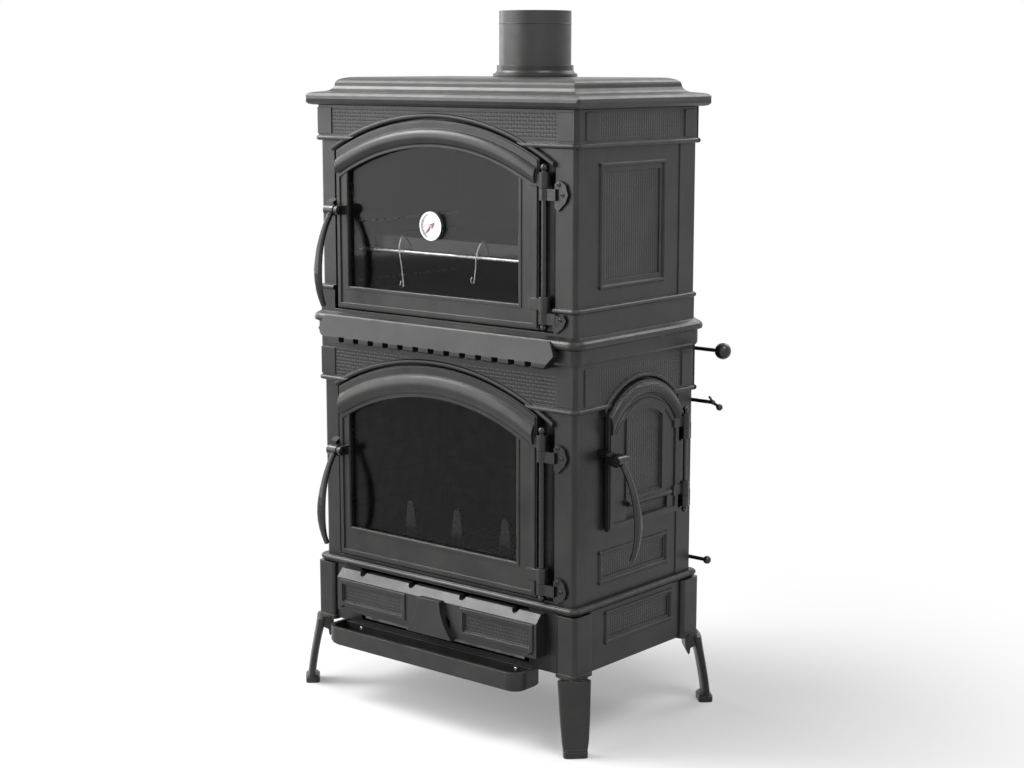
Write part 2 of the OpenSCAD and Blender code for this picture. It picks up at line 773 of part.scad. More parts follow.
// One ring of a leg: middle line, breadth and thickness at a level from 0 to 1
leg_root = 26;
function leg_reach(t) = leg_root + leg_splay * (1 - pow(t, 1.3));
function leg_breadth(t) = foot_w + (leg_w - foot_w) * pow(t, 0.6);
function leg_depth(t) = leg_t * (1 + 0.25 * pow(t, 6));
function leg_ring(t, z) = [for (i = [0:15]) let (
    a = -22.5 * i,
    c = sign(cos(a)) * pow(abs(cos(a)), 0.6),
    s = sign(sin(a)) * pow(abs(sin(a)), 0.6)
  ) [leg_reach(t) + leg_depth(t) / 2 * c, leg_breadth(t) / 2 * s, z]];

// A closed skin over a list of rings with the same number of points
module loft(rings) {
  n = len(rings[0]);
  m = len(rings);
  polyhedron(
    points = [for (r = rings) each r],
    faces = concat(
      [[for (i = [n - 1:-1:0]) i]],
      [for (j = [0:m - 2], i = [0:n - 1]) each [
        [j * n + i, j * n + (i + 1) % n, (j + 1) * n + (i + 1) % n],
        [j * n + i, (j + 1) * n + (i + 1) % n, (j + 1) * n + i]
      ]],
      [[for (i = [0:n - 1]) (m - 1) * n + i]]
    )
  );
}

// A leg under the corner at sx, sy: corner post, cast leg and foot
module leg(sx, sy) {
  px = hw + post_out - post_w / 2;
  py = hd + post_out - post_w / 2 - 4;
  color(iron) {
    translate([sx * px, sy * py, 0]) {
      round_prism(post_w / 2, post_w / 2 + 4, corner_r, z_base, z_fire - flange_h - 4 - post_gap / 3);
      round_prism(post_w / 2 + 2, post_w / 2 + 6, corner_r + 2, z_base - 3, z_base + 5);
    }
    translate([sx * (hw - 14), sy * (hd - 14), 0]) rotate([0, 0, sy > 0 ? (sx > 0 ? 45 : 135) : (sx > 0 ? -45 : -135)])
      intersection() {
        union() {
          loft([for (i = [0:8]) leg_ring(i / 8, 10 + (z_base - 3 - 10) * i / 8)]);
          translate([leg_reach(0) - 2, 0, 0]) linear_extrude(12) round_rect(15, foot_w / 2, 8);
          translate([leg_reach(0) - 2, 0, 0]) linear_extrude(16) round_rect(12, foot_w / 2 - 3, 8);
          front_slab(6 - leg_w / 2, leg_w / 2 - 6) polygon([
            [leg_root, z_base + 1], [0, z_base + 1], [0.5, z_base - 18], [3.5, z_base - 33], [8, z_base - 42],
            [11, z_base - 38], [12, z_base - 28], [leg_root, z_base - 20]
          ]);
        }
        block([-60, -60, 0], [leg_root + leg_splay + leg_t + 20, 60, z_base + 1]);
      }
  }
}

module leg_front_left() {
  leg(-1, -1);
}

module leg_front_right() {
  leg(1, -1);
}

module leg_back_left() {
  leg(-1, 1);
}

module leg_back_right() {
  leg(1, 1);
}

// Oven box behind the door opening, open at the front
oven_l = oven_door_x - oven_door_w / 2 + seat_lap + oven_wall + 1;
oven_r = oven_door_x + oven_door_w / 2 - seat_lap - oven_wall - 1;
oven_floor = oven_door_z + oven_rail - 12;
oven_top = oven_door_z + oven_door_h - seat_lap - 26;
oven_end = inner_y + oven_depth;

module oven_box() {
  color(dark_iron) difference() {
    union() {
      block([oven_l - oven_wall, inner_y, oven_floor - oven_wall], [oven_r + oven_wall, oven_end + oven_wall, oven_top + oven_wall]);
      for (x = [oven_l + 20, oven_r - 40], y = [inner_y + 20, oven_end - 40])
        block([x, y, z_cornice + 10], [x + 20, y + 20, oven_floor - oven_wall]);
    }
    block([oven_l, inner_y - 1, oven_floor], [oven_r, oven_end, oven_top]);
  }
}

// Three pairs of rails on the side walls of the oven
module oven_runners() {
  color(steel) for (i = [0:2]) {
    z = oven_floor + rack_h + (i - 1) * 62 - rim_wire;
    block([oven_l, inner_y + 12, z - 3], [oven_l + 12, oven_end - 12, z]);
    block([oven_r - 12, inner_y + 12, z - 3], [oven_r, oven_end - 12, z]);
  }
}

rack_y0 = inner_y + 16;
rack_y1 = oven_end - 22;

module oven_rack() {
  x0 = oven_l + 3 + rim_wire / 2;
  x1 = oven_r - 3 - rim_wire / 2;
  z = oven_floor + rack_h - rim_wire / 2;
  n = 14;
  color(steel) {
    for (y = [rack_y0, (rack_y0 + rack_y1) / 2, rack_y1]) translate([x0, y, z]) rotate([0, 90, 0]) cylinder(h = x1 - x0, d = rim_wire, $fn = 24);
    for (x = [x0, x1]) translate([x, rack_y0 - rim_wire, z]) rotate([-90, 0, 0])
      cylinder(h = rack_y1 - rack_y0 + 2 * rim_wire, d = rim_wire, $fn = 24);
    for (i = [1:n]) translate([x0 + i * (x1 - x0) / (n + 1), rack_y0, z + rim_wire / 2 - cross_wire / 2 - 0.7])
      rotate([-90, 0, 0]) cylinder(h = rack_y1 - rack_y0, d = cross_wire, $fn = 24);
  }
}

module drip_tray() {
  x0 = oven_l + 34;
  x1 = oven_r - 34;
  z = oven_floor + rack_h;
  color(black) difference() {
    block([x0, rack_y0 + 10, z], [x1, rack_y1 - 14, z + tray_h]);
    block([x0 + 3, rack_y0 + 13, z + 3], [x1 - 3, rack_y1 - 17, z + tray_h + 1]);
  }
}

// Plate on the oven box that sends the smoke to the front before it leaves
module smoke_baffle() {
  z = oven_top + oven_wall;
  y0 = inner_y + oven_depth / 5;
  color(dark_iron) {
    block([oven_l + 20, y0, z + 22], [oven_r - 20, oven_end, z + 28]);
    for (x = [oven_l + 60, oven_r - 60]) block([x - 4, y0, z], [x + 4, oven_end, z + 22]);
  }
}

// Firebox floor on its skirt, with a seat for the grate
hearth_z = z_fire + hearth_h;
grate_y = 0;

module hearth_plate() {
  color(dark_iron) difference() {
    block([-side_in + 1, inner_y + 1, z_fire], [side_in - 1, back_in, hearth_z]);
    block([-side_in + 8, inner_y + 8, z_fire - 1], [side_in - 8, back_in - 7, hearth_z - hearth_t]);
    block([-grate_w / 2, grate_y - grate_l / 2, hearth_z - hearth_t - 1], [grate_w / 2, grate_y + grate_l / 2, hearth_z + 1]);
    block([-grate_w / 2 - 8, grate_y - grate_l / 2 - 8, hearth_z - 5], [grate_w / 2 + 8, grate_y + grate_l / 2 + 8, hearth_z + 1]);
    for (i = [-1:1]) block([i * air_pitch - 14, back_in - 8, primary_z - 10], [i * air_pitch + 14, back_in + 1, primary_z + 8]);
  }
}

module fire_grate() {
  x = grate_w / 2 + 7.7;
  y = grate_l / 2 + 7.7;
  n = floor(grate_w / 20);
  color(dark_iron) translate([0, grate_y, hearth_z - 5]) difference() {
    block([-x, -y, 0], [x, y, 9]);
    for (i = [0:n - 1], s = [-1, 1]) block([(i - (n - 1) / 2) * 20 - 5, s > 0 ? 5 : -y + 14, -1], [(i - (n - 1) / 2) * 20 + 5, s > 0 ? y - 14 : -5, 10]);
  }
}

liner_top = z_cornice - 60;

module liner_left() {
  color("#57534c") block([-side_in, inner_y + 2, hearth_z], [-side_in + liner_t, back_in - liner_t - 0.5, liner_top]);
}

module liner_right() {
  color("#57534c") difference() {
    block([side_in - liner_t, inner_y + 2, hearth_z], [side_in, back_in - liner_t - 0.5, liner_top]);
    side_slab(side_in - liner_t - 1, side_in + 1)
      arch(side_door_y, side_door_w - 2 * seat_lap - 12, side_door_z + seat_lap + 6, side_crown - seat_lap - 12, side_arch_r - seat_lap - 6);
  }
}

module liner_back() {
  color("#57534c") difference() {
    block([-side_in, back_in - liner_t, hearth_z], [side_in, back_in, liner_top]);
    for (i = [-2:2]) translate([i * air_pitch, back_in - liner_t - 1, secondary_z]) rotate([-90, 0, 0]) cylinder(h = liner_t + 2, d = 12);
  }
}

// Low bar behind the fire door, with pointed fingers that hold the logs back
module log_guard() {
  y0 = inner_y + 20;
  half = fire_door_w / 2 - 55;
  color(black) {
    front_slab(y0, y0 + 10) {
      rect([fire_door_x - half, hearth_z], [fire_door_x + half, hearth_z + 22]);
      for (i = [-1:1]) translate([i * finger_pitch, 0]) polygon([
        [-19, hearth_z], [-17, hearth_z + 30], [-8, hearth_z + finger_h - 5], [-3, hearth_z + finger_h],
        [3, hearth_z + finger_h], [8, hearth_z + finger_h - 5], [17, hearth_z + 30], [19, hearth_z]
      ]);
    }
    for (i = [-1:1]) block([i * finger_pitch - 8, y0 + 9, hearth_z], [i * finger_pitch + 8, y0 + 34, hearth_z + 8]);
  }
}

// Room between a knuckle and the bracket eye under it
eye_gap = 0.5;
eye_h = 22;

// Rod with a ball at each end, from the lower bracket to the upper knuckle of a door
module hinge_rod(x, y, door_z, hinges, d) {
  z0 = door_z + hinges[0] - knuckle_h / 2 - eye_h - eye_gap - 7;
  z1 = door_z + hinges[1] + knuckle_h / 2 + 9;
  translate([x, y, 0]) {
    translate([0, 0, z0]) cylinder(h = z1 - z0, d = d);
    for (z = [z0, z1]) translate([0, 0, z]) sphere(d = d + 4, $fn = 32);
  }
}

module hinge_rods() {
  color(dark_iron) {
    hinge_rod(oven_hinge_x, hinge_y, oven_door_z, oven_hinges, rod_d);
    hinge_rod(fire_hinge_x, hinge_y, fire_door_z, fire_hinges, rod_d);
    hinge_rod(side_hinge_x, side_hinge_y, side_door_z, side_hinges, side_rod_d);
  }
}

// Bracket on a front column: an eye round the rod, on a plate that lies on the given face
module front_bracket(x, edge, z, face, drop, rise) {
  difference() {
    union() {
      translate([x, hinge_y, z - eye_h]) cylinder(h = eye_h, r = knuckle_r);
      block([x, hinge_y - 5, z - eye_h], [edge + 8, face, z]);
      front_slab(face - 6, face) polygon([
        [edge + 2, z - eye_h - drop + 6], [edge + 10, z - eye_h - drop], [edge + 28, z - eye_h - 3],
        [edge + 34, z - eye_h / 2], [edge + 28, z + rise / 2], [edge + 18, z + rise - 2],
        [edge + 8, z + rise], [edge + 2, z + rise / 2]
      ]);
    }
    translate([x, hinge_y, z - eye_h - 1]) cylinder(h = eye_h + 2, d = rod_d + 2 * rod_gap);
  }
}

module side_bracket(z) {
  difference() {
    union() {
      translate([side_hinge_x, side_hinge_y, z - eye_h]) cylinder(h = eye_h, r = side_knuckle_r);
      block([bw + 2, side_hinge_y - 2, z - eye_h], [side_hinge_x, side_hinge_y + 4, z]);
      block([bw + 2, side_hinge_y + 1, z - eye_h - 6], [bw + 7, back_in - 6, z + 6]);
    }
    translate([side_hinge_x, side_hinge_y, z - eye_h - 1]) cylinder(h = eye_h + 2, d = side_rod_d + 2 * rod_gap);
  }
}

module hinge_brackets() {
  color(black) {
    front_bracket(oven_hinge_x, oven_recess[1], oven_door_z + oven_hinges[0] - knuckle_h / 2 - eye_gap, front_y, 16, -2);
    front_bracket(oven_hinge_x, oven_recess[1], oven_door_z + oven_hinges[1] - knuckle_h / 2 - eye_gap, face_y, 20, 16);
    front_bracket(fire_hinge_x, fire_recess[1], fire_door_z + fire_hinges[0] - knuckle_h / 2 - eye_gap, face_y, 14, 16);
    front_bracket(fire_hinge_x, fire_recess[1], fire_door_z + fire_hinges[1] - knuckle_h / 2 - eye_gap, face_y, 20, 16);
    for (h = side_hinges) side_bracket(side_door_z + h - knuckle_h / 2 - eye_gap);
  }
}

// Latch tongue of a handle, in the space beside the door, and the lug that it swings under
tongue_t = 5;
tongue_h = 10;
tongue_off = 3;
tongue_end = 2.2;
hub_r = pin_d / 2 + 7;
lug_z = 8.5;
lug_gap = 0.8;

// A lug in Y and Z that stands on a face at y0 and reaches out to y1
module lug_outline(y0, y1) {
  polygon([[y0, lug_z], [y1, lug_z], [y1, lug_z + 7], [y0, lug_z + 14]]);
}

module latch_keepers() {
  front = leaf_front - pivot_out + hub_r + lug_gap;
  side = side_leaf_out + pivot_out - hub_r - lug_gap;
  side_edge = side_door_y - side_door_w / 2 - tongue_off + 1;
  color(black) {
    translate([0, 0, oven_door_z + oven_pivot_h])
      side_slab(oven_recess[0] - 11, oven_door_x - oven_door_w / 2 - tongue_off + 1) lug_outline(face_y, front);
    translate([0, 0, fire_door_z + fire_pivot_h])
      side_slab(fire_recess[0] - 11, fire_door_x - fire_door_w / 2 - tongue_off + 1) lug_outline(face_y, front);
    translate([0, 0, side_door_z + side_pivot_h]) front_slab(side_edge - 18, side_edge) lug_outline(bw, side);
  }
}

// A cast front door: arched leaf with a bullnose band, rims, knuckles and the ear for its handle
module front_door(middle, w, z0, h, r, stile_l, stile_r, rail, crown_h, hinges, hinge_x, pivot_h) {
  x0 = middle - w / 2;
  x1 = middle + w / 2;
  crown = z0 + h;
  glass_r = r - crown_h;
  difference() {
    union() {
      front_slab(leaf_front, leaf_back) arch(middle, w, z0, crown, r);
      front_slab(leaf_front - 3, leaf_front + 1) difference() {
        arch(middle, w - 6, z0 + 3, crown - 3, r - 3);
        arch(middle, w - 22, z0 + 11, crown - crown_h, glass_r);
      }
      front_slab(leaf_front - 2, leaf_front + 1) difference() {
        glass_outline(middle, x0 + stile_l - 7, x1 - stile_r + 7, z0 + rail - 7, crown - crown_h + 7, glass_r + 7);
        glass_outline(middle, x0 + stile_l - 1, x1 - stile_r + 1, z0 + rail - 1, crown - crown_h + 1, glass_r + 1);
      }
      arch_band(middle, x0, x1, crown, r, crown_h);
      for (i = [0, 1]) {
        translate([hinge_x, hinge_y, z0 + hinges[i] - knuckle_h / 2]) cylinder(h = knuckle_h, r = knuckle_r);
        block([x1 - 22, leaf_front - 5, z0 + hinges[i] - knuckle_h / 2 + 4], [hinge_x, leaf_front + 5, z0 + hinges[i] + knuckle_h / 2 - 4]);
      }
      ear(x0, leaf_front - pivot_out, z0 + pivot_h);
    }
    front_slab(leaf_front - 20, leaf_back + 1) glass_outline(middle, x0 + stile_l, x1 - stile_r, z0 + rail, crown - crown_h, glass_r);
    front_slab(leaf_back - glass_t - 2.5, leaf_back + 1)
      glass_outline(middle, x0 + stile_l - glass_lap, x1 - stile_r + glass_lap, z0 + rail - glass_lap, crown - crown_h + glass_lap, glass_r + glass_lap);
    for (i = [0, 1]) translate([hinge_x, hinge_y, z0 + hinges[i] - knuckle_h / 2 - 1]) cylinder(h = knuckle_h + 2, d = rod_d + 2 * rod_gap);
    translate([x0 + ear_in - 1, leaf_front - pivot_out, z0 + pivot_h]) rotate([0, 90, 0]) cylinder(h = ear_t + 2, d = pin_d + 2 * rod_gap);
  }
}

// Outline of the glass, which shares the middle of its door's arch
module glass_outline(middle, x0, x1, z0, z1, r) {
  intersection() {
    rect([x0, z0], [x1, z1 + 1]);
    translate([middle, z1 - r]) circle(r, $fn = 180);
  }
}

// Bullnose band over the glass, a slice of a ring
band_edge = 4;

module arch_band(middle, x0, x1, crown, r, crown_h) {
  r0 = r - crown_h + band_edge;
  r1 = r - 14;
  half = (r1 - r0) / 2;
  nose_r = (half * half + band_out * band_out) / (2 * band_out);
  intersection() {
    translate([middle, leaf_front, crown - r]) rotate([90, 0, 0]) rotate_extrude($fn = 180)
      translate([(r0 + r1) / 2, 0]) intersection() {
        translate([0, band_out - nose_r]) circle(nose_r, $fn = 48);
        translate([-half, -1]) square([2 * half, band_out + 2]);
      }
    block([x0 + 5, leaf_front - band_out - 1, crown - crown_h - 60], [x1 - 5, leaf_front + 1, crown]);
  }
}

// Ear that carries the handle pin, beside the handle's hub
hub_l = 18;
ear_in = hub_l + 0.5;
ear_t = 10;

module ear(x0, y, z) {
  translate([x0 + ear_in, y, z]) rotate([0, 90, 0]) cylinder(h = ear_t, r = pin_d / 2 + 5);
  block([x0 + ear_in, y, z - pin_d / 2 - 5], [x0 + ear_in + ear_t, leaf_front + 1, z + pin_d / 2 + 5]);
}

module oven_door() {
  color(iron) front_door(oven_door_x, oven_door_w, oven_door_z, oven_door_h, oven_arch_r,
    oven_stile_l, oven_stile_r, oven_rail, oven_crown, oven_hinges, oven_hinge_x, oven_pivot_h);
}

module fire_door() {
  color(iron) front_door(fire_door_x, fire_door_w, fire_door_z, fire_door_h, fire_arch_r,
    fire_stile_l, fire_stile_r, fire_rail, fire_crown, fire_hinges, fire_hinge_x, fire_pivot_h);
}

// Glass pane, 0.3 short of its rebate
module pane(middle, w, z0, h, r, stile_l, stile_r, rail, crown_h) {
  lap = glass_lap - 0.3;
  y0 = leaf_back - glass_t - 2.3;
  front_slab(y0, y0 + glass_t) glass_outline(middle, middle - w / 2 + stile_l - lap, middle + w / 2 - stile_r + lap,
    z0 + rail - lap, z0 + h - crown_h + lap, r - crown_h + lap);
}

module oven_glass() {
  color("#1c1d1f") difference() {
    pane(oven_door_x, oven_door_w, oven_door_z, oven_door_h, oven_arch_r, oven_stile_l, oven_stile_r, oven_rail, oven_crown);
    translate([dial_x, leaf_back + 5, oven_door_z + dial_h]) rotate([90, 0, 0]) cylinder(h = 30, d = stem_d + 1);
  }
}

module fire_glass() {
  color("#1c1d1f") pane(fire_door_x, fire_door_w, fire_door_z, fire_door_h, fire_arch_r, fire_stile_l, fire_stile_r, fire_rail, fire_crown);
}

// Flat rope gasket round the back of a leaf
module gasket(middle, w, z0, h, r) {
  front_slab(leaf_back, seat_y - gasket_gap) difference() {
    arch(middle, w - 10, z0 + 5, z0 + h - 5, r - 5);
    arch(middle, w - 10 - 2 * gasket_w, z0 + 5 + gasket_w, z0 + h - 5 - gasket_w, r - 5 - gasket_w);
  }
}

module oven_gasket() {
  color("#6d6a64") gasket(oven_door_x, oven_door_w, oven_door_z, oven_door_h, oven_arch_r);
}

module fire_gasket() {
  color("#6d6a64") gasket(fire_door_x, fire_door_w, fire_door_z, fire_door_h, fire_arch_r);
}

// Clips that hold a pane in its rebate from behind
module clips(middle, w, stile_l, stile_r, heights) {
  x0 = middle - w / 2 + stile_l;
  x1 = middle + w / 2 - stile_r;
  for (z = heights) {
    block([x0 - glass_lap - 4, leaf_back, z], [x0 - 2, leaf_back + 1.5, z + 24]);
    block([x0 - glass_lap + 1, leaf_back - 2.2, z], [x0 - 2, leaf_back + 1, z + 24]);
    block([x1 + 2, leaf_back, z], [x1 + glass_lap + 12, leaf_back + 1.5, z + 24]);
    block([x1 + 2, leaf_back - 2.2, z], [x1 + glass_lap - 1, leaf_back + 1, z + 24]);
  }
}

module oven_glass_clips() {
  color(steel) clips(
    oven_door_x, oven_door_w, oven_stile_l, oven_stile_r,
    [oven_door_z + oven_rail + 40, oven_door_z + oven_door_h - 158]
  );
}

module fire_glass_clips() {
  color(steel) clips(
    fire_door_x, fire_door_w, fire_stile_l, fire_stile_r,
    [fire_door_z + fire_rail + 40, fire_door_z + fire_door_h - 179]
  );
}

// A side-hung lever in its own frame: x outward, y along the pin into the door, pivot at the origin
function bezier(t) = let (u = 1 - t) [
  3 * u * u * t * 0.82 * lever_bow + 3 * u * t * t * 1.43 * lever_bow + t * t * t * 0.68 * lever_bow,
  -3 * u * u * t * 0.23 * lever_drop - 3 * u * t * t * 0.66 * lever_drop - t * t * t * lever_drop
];
function lever_ring(t) = let (
    p = bezier(t),
    q = bezier(t + 0.01) - bezier(t - 0.01),
    n = [-q[1], q[0]] / norm(q),
    thick = 6.6 - 1.4 * t,
    half_w = lever_w * (0.42 + 0.34 * pow(sin(180 * pow(min(t, 1), 1.7)), 2))
  ) [for (i = [0:11]) let (a = -30 * i) [p[0] + n[0] * thick * sin(a), lever_w / 2 + 1 + half_w * cos(a), p[1] + n[1] * thick * sin(a)]];

module handle(tongue_reach) {
  color(black) difference() {
    union() {
      translate([0, -tongue_off - tongue_t, 0]) rotate([-90, 0, 0]) cylinder(h = tongue_off + tongue_t + hub_l, r = hub_r);
      front_slab(-tongue_off - tongue_t, -tongue_off) polygon([
        [0, -0.92 * hub_r], [0, 0.92 * hub_r], [-0.37 * hub_r, 0.92 * hub_r], [-tongue_reach, tongue_h / 2],
        [-tongue_reach, -tongue_h / 2], [-0.37 * hub_r, -0.92 * hub_r]
      ]);
      loft([for (i = [0:12]) lever_ring(0.04 + 0.96 * i / 12)]);
    }
    translate([0, -30, 0]) rotate([-90, 0, 0]) cylinder(h = 80, d = pin_d + 2 * rod_gap);
  }
}

module handle_pin() {
  y0 = -tongue_off - tongue_t - 0.3;
  y1 = ear_in + ear_t + 0.3;
  color(steel) {
    translate([0, y0, 0]) rotate([-90, 0, 0]) cylinder(h = y1 - y0, d = pin_d);
    for (y = [y0 - 3, y1]) translate([0, y, 0]) rotate([-90, 0, 0]) cylinder(h = 3, d = pin_d + 3);
  }
}

// Carries a piece from the lever's own frame to the pivot on each door
module at_oven_pivot() {
  translate([oven_door_x - oven_door_w / 2, leaf_front - pivot_out, oven_door_z + oven_pivot_h]) rotate([0, 0, -90]) children();
}

module at_fire_pivot() {
  translate([fire_door_x - fire_door_w / 2, leaf_front - pivot_out, fire_door_z + fire_pivot_h]) rotate([0, 0, -90]) children();
}

module at_side_pivot() {
  translate([side_leaf_out + pivot_out, side_door_y - side_door_w / 2, side_door_z + side_pivot_h]) children();
}

module oven_handle_pin() {
  at_oven_pivot() handle_pin();
}

module fire_handle_pin() {
  at_fire_pivot() handle_pin();
}

module side_handle_pin() {
  at_side_pivot() handle_pin();
}

module oven_handle() {
  at_oven_pivot() handle(pivot_out - tongue_end);
}

module fire_handle() {
  at_fire_pivot() handle(pivot_out - tongue_end);
}

module side_handle() {
  at_side_pivot() handle(pivot_out - tongue_end);
}

// Round dial on the oven glass, with a stem through a hole in the pane
stem_d = 6;
dial_x = oven_door_x - 7.5;
dial_back = leaf_back - glass_t - 2.3;

module thermometer_case() {
  color(steel) translate([dial_x, dial_back, oven_door_z + dial_h]) {
    difference() {
      rotate([90, 0, 0]) cylinder(h = dial_t, d = dial_d);
      translate([0, 3.5 - dial_t, 0]) rotate([90, 0, 0]) cylinder(h = 4, d = dial_d - 7);
    }
    translate([0, 1 - dial_t, 0]) rotate([-90, 0, 0]) cylinder(h = 4, d = 3);
    rotate([-90, 0, 0]) cylinder(h = 24, d = stem_d);
  }
}

module thermometer_needle() {
  reach = dial_d / 2 - 8;
  color("#a02018") translate([dial_x, dial_back - dial_t + 1.3, oven_door_z + dial_h]) rotate([0, -135, 0]) difference() {
    union() {
      rotate([-90, 0, 0]) cylinder(h = 1.2, d = 9);
      front_slab(0, 1.2) polygon([[-2.4, 0], [-1.4, -9], [1.4, -9], [2.4, 0], [0.6, reach], [-0.6, reach]]);
    }
    translate([0, -1, 0]) rotate([-90, 0, 0]) cylinder(h = 4, d = 3 + 2 * rod_gap);
  }
}

// Ring of round section whose top follows a flat bow, drawn about the Z axis
module nose_ring(r0, r1, rise) {
  half = (r1 - r0) / 2;
  nose_r = (half * half + rise * rise) / (2 * rise);
  rotate_extrude($fn = 120) translate([(r0 + r1) / 2, 0]) intersection() {
    translate([0, rise - nose_r]) circle(nose_r, $fn = 48);
    translate([-half, -1]) square([2 * half, rise + 2]);
  }
}

side_panel_half = 57;

module side_door() {
  y0 = side_door_y - side_door_w / 2;
  y1 = side_door_y + side_door_w / 2;
  spring_z = side_crown - side_arch_r;
  r_panel = side_arch_r - 58;
  color(iron) difference() {
    union() {
      side_slab(side_leaf_in, side_leaf_out) arch(side_door_y, side_door_w, side_door_z, side_crown, side_arch_r);
      intersection() {
        translate([side_leaf_out, side_door_y, spring_z]) rotate([90, 0, 90]) union() {
          nose_ring(side_arch_r - 30, side_arch_r - 3, 9);
          nose_ring(side_arch_r - 47, side_arch_r - 36, 4);
        }
        block([side_leaf_out - 1, y0 + 3, side_crown - 95], [side_leaf_out + 20, y1 - 3, side_crown]);
      }
      side_slab(side_leaf_out - 1, side_leaf_out + 3) difference() {
        arch(side_door_y, side_door_w - 6, side_door_z + 3, side_crown - 4, side_arch_r - 4);
        arch(side_door_y, side_door_w - 28, side_door_z + 14, side_crown - 30, side_arch_r - 30);
      }
      side_slab(side_leaf_out - 1, side_leaf_out + 3) difference() {
        arch(side_door_y, 2 * side_panel_half + 14, side_door_z + 52, side_crown - 44, r_panel + 14);
        arch(side_door_y, 2 * side_panel_half, side_door_z + 59, side_crown - 58, r_panel);
      }
      front_slab(side_door_y - 62, side_door_y + 82) polygon([
        [side_leaf_out - 1, side_door_z + 42], [side_leaf_out + 7, side_door_z + 42], [side_leaf_out + 12, side_door_z + 47],
        [side_leaf_out + 12, side_door_z + 50], [side_leaf_out - 1, side_door_z + 57]
      ]);
      for (h = side_hinges) {
        translate([side_hinge_x, side_hinge_y, side_door_z + h - knuckle_h / 2]) cylinder(h = knuckle_h, r = side_knuckle_r);
        block([side_leaf_in + 2, y1 - 20, side_door_z + h - knuckle_h / 2 + 5], [side_leaf_out + 4, side_hinge_y, side_door_z + h + knuckle_h / 2 - 5]);
      }
      at_side_pivot() {
        translate([0, ear_in, 0]) rotate([-90, 0, 0]) cylinder(h = ear_t, r = pin_d / 2 + 5);
        block([-pivot_out - 1, ear_in, -pin_d / 2 - 5], [0, ear_in + ear_t, pin_d / 2 + 5]);
      }
    }
    side_slab(side_leaf_out - 2.5, side_leaf_out + 1)
      arch(side_door_y, 2 * side_panel_half - 8, side_door_z + 63, side_crown - 62, r_panel - 4);
    side_slab(side_leaf_out - 5, side_leaf_out + 1) rect([side_door_y - 60, side_door_z + 16], [side_door_y + 80, side_door_z + 41]);
    for (h = side_hinges) translate([side_hinge_x, side_hinge_y, side_door_z + h - knuckle_h / 2 - 1])
      cylinder(h = knuckle_h + 2, d = side_rod_d + 2 * rod_gap);
    at_side_pivot() translate([0, ear_in - 1, 0]) rotate([-90, 0, 0]) cylinder(h = ear_t + 2, d = pin_d + 2 * rod_gap);
  }
}

module side_gasket() {
  color("#6d6a64") side_slab(bw + gasket_gap, side_leaf_in) difference() {
    arch(side_door_y, side_door_w - 10, side_door_z + 5, side_crown - 5, side_arch_r - 5);
    arch(side_door_y, side_door_w - 10 - 2 * gasket_w, side_door_z + 5 + gasket_w, side_crown - 5 - gasket_w, side_arch_r - 5 - gasket_w);
  }
}

// Ash drawer: cast front with two sunk fields and a bell-shaped pull, on a sheet pan
drawer_z = z_fire - flange_h - 7 - drawer_h;
field_x0 = 84;
pull_z = drawer_z - 2;
pull_top = drawer_z + drawer_h - 14;

// Outline of the pull, which widens like a bell towards its foot
function pull_half(u) = 30 + 32 * pow(1 - u, 2);

module pull_outline(inset, z0, z1) {
  polygon(concat(
    [for (i = [0:8]) [pull_half(i / 8) - inset, z0 + (z1 - z0) * i / 8]],
    [for (i = [8:-1:0]) [inset - pull_half(i / 8), z0 + (z1 - z0) * i / 8]]
  ));
}

module drawer_front() {
  y0 = front_y - drawer_out;
  y1 = front_y - drawer_gap;
  top = drawer_z + drawer_h;
  half = drawer_w / 2;
  color(iron) difference() {
    union() {
      side_slab(-half, half) polygon([
        [y0, drawer_z], [y0, top - 17], [y0 + 15, top], [y1, top], [y1, drawer_z]
      ]);
      front_slab(y0 - 3, y0 + 1) for (s = [-1, 1]) difference() {
        rect([s > 0 ? field_x0 - 8 : 8 - half, drawer_z + 12], [s > 0 ? half - 8 : 8 - field_x0, top - 20]);
        rect([s > 0 ? field_x0 : 16 - half, drawer_z + 20], [s > 0 ? half - 16 : -field_x0, top - 28]);
      }
      front_slab(y0 - 14, y0 + 1) pull_outline(0, pull_z, pull_top);
    }
    front_slab(y0 - 1, y0 + 12) arch(0, 96, drawer_z - 1, drawer_z + 50, 80);
    front_slab(y0 - 9.5, y0) pull_outline(5, pull_z - 1, pull_top - 20);
    for (s = [-1, 1]) {
      for (x = [70, half - 64]) translate([s * x, y0 - 20, top + 1]) rotate([-90, 0, 0]) cylinder(h = 50, r = 8.5);
      front_slab(y0 - 1, y0 + 2.5) rect([s > 0 ? field_x0 + 3 : 19 - half, drawer_z + 23], [s > 0 ? half - 19 : -field_x0 - 3, top - 31]);
      block([s > 0 ? field_x0 + 2 : 8 - half, y0 + 9, drawer_z + 8], [s > 0 ? half - 8 : -field_x0 - 2, y1 + 1, top - 24]);
    }
  }
}

module ash_pan() {
  z0 = z_base + 13 + drawer_gap;
  y0 = front_y - drawer_gap;
  color(dark_iron) difference() {
    block([-pan_w / 2, y0, z0], [pan_w / 2, y0 + pan_l, z0 + pan_h]);
    block([-pan_w / 2 + pan_t, y0 + pan_t, z0 + pan_t], [pan_w / 2 - pan_t, y0 + pan_l - pan_t, z0 + pan_h + 1]);
  }
}

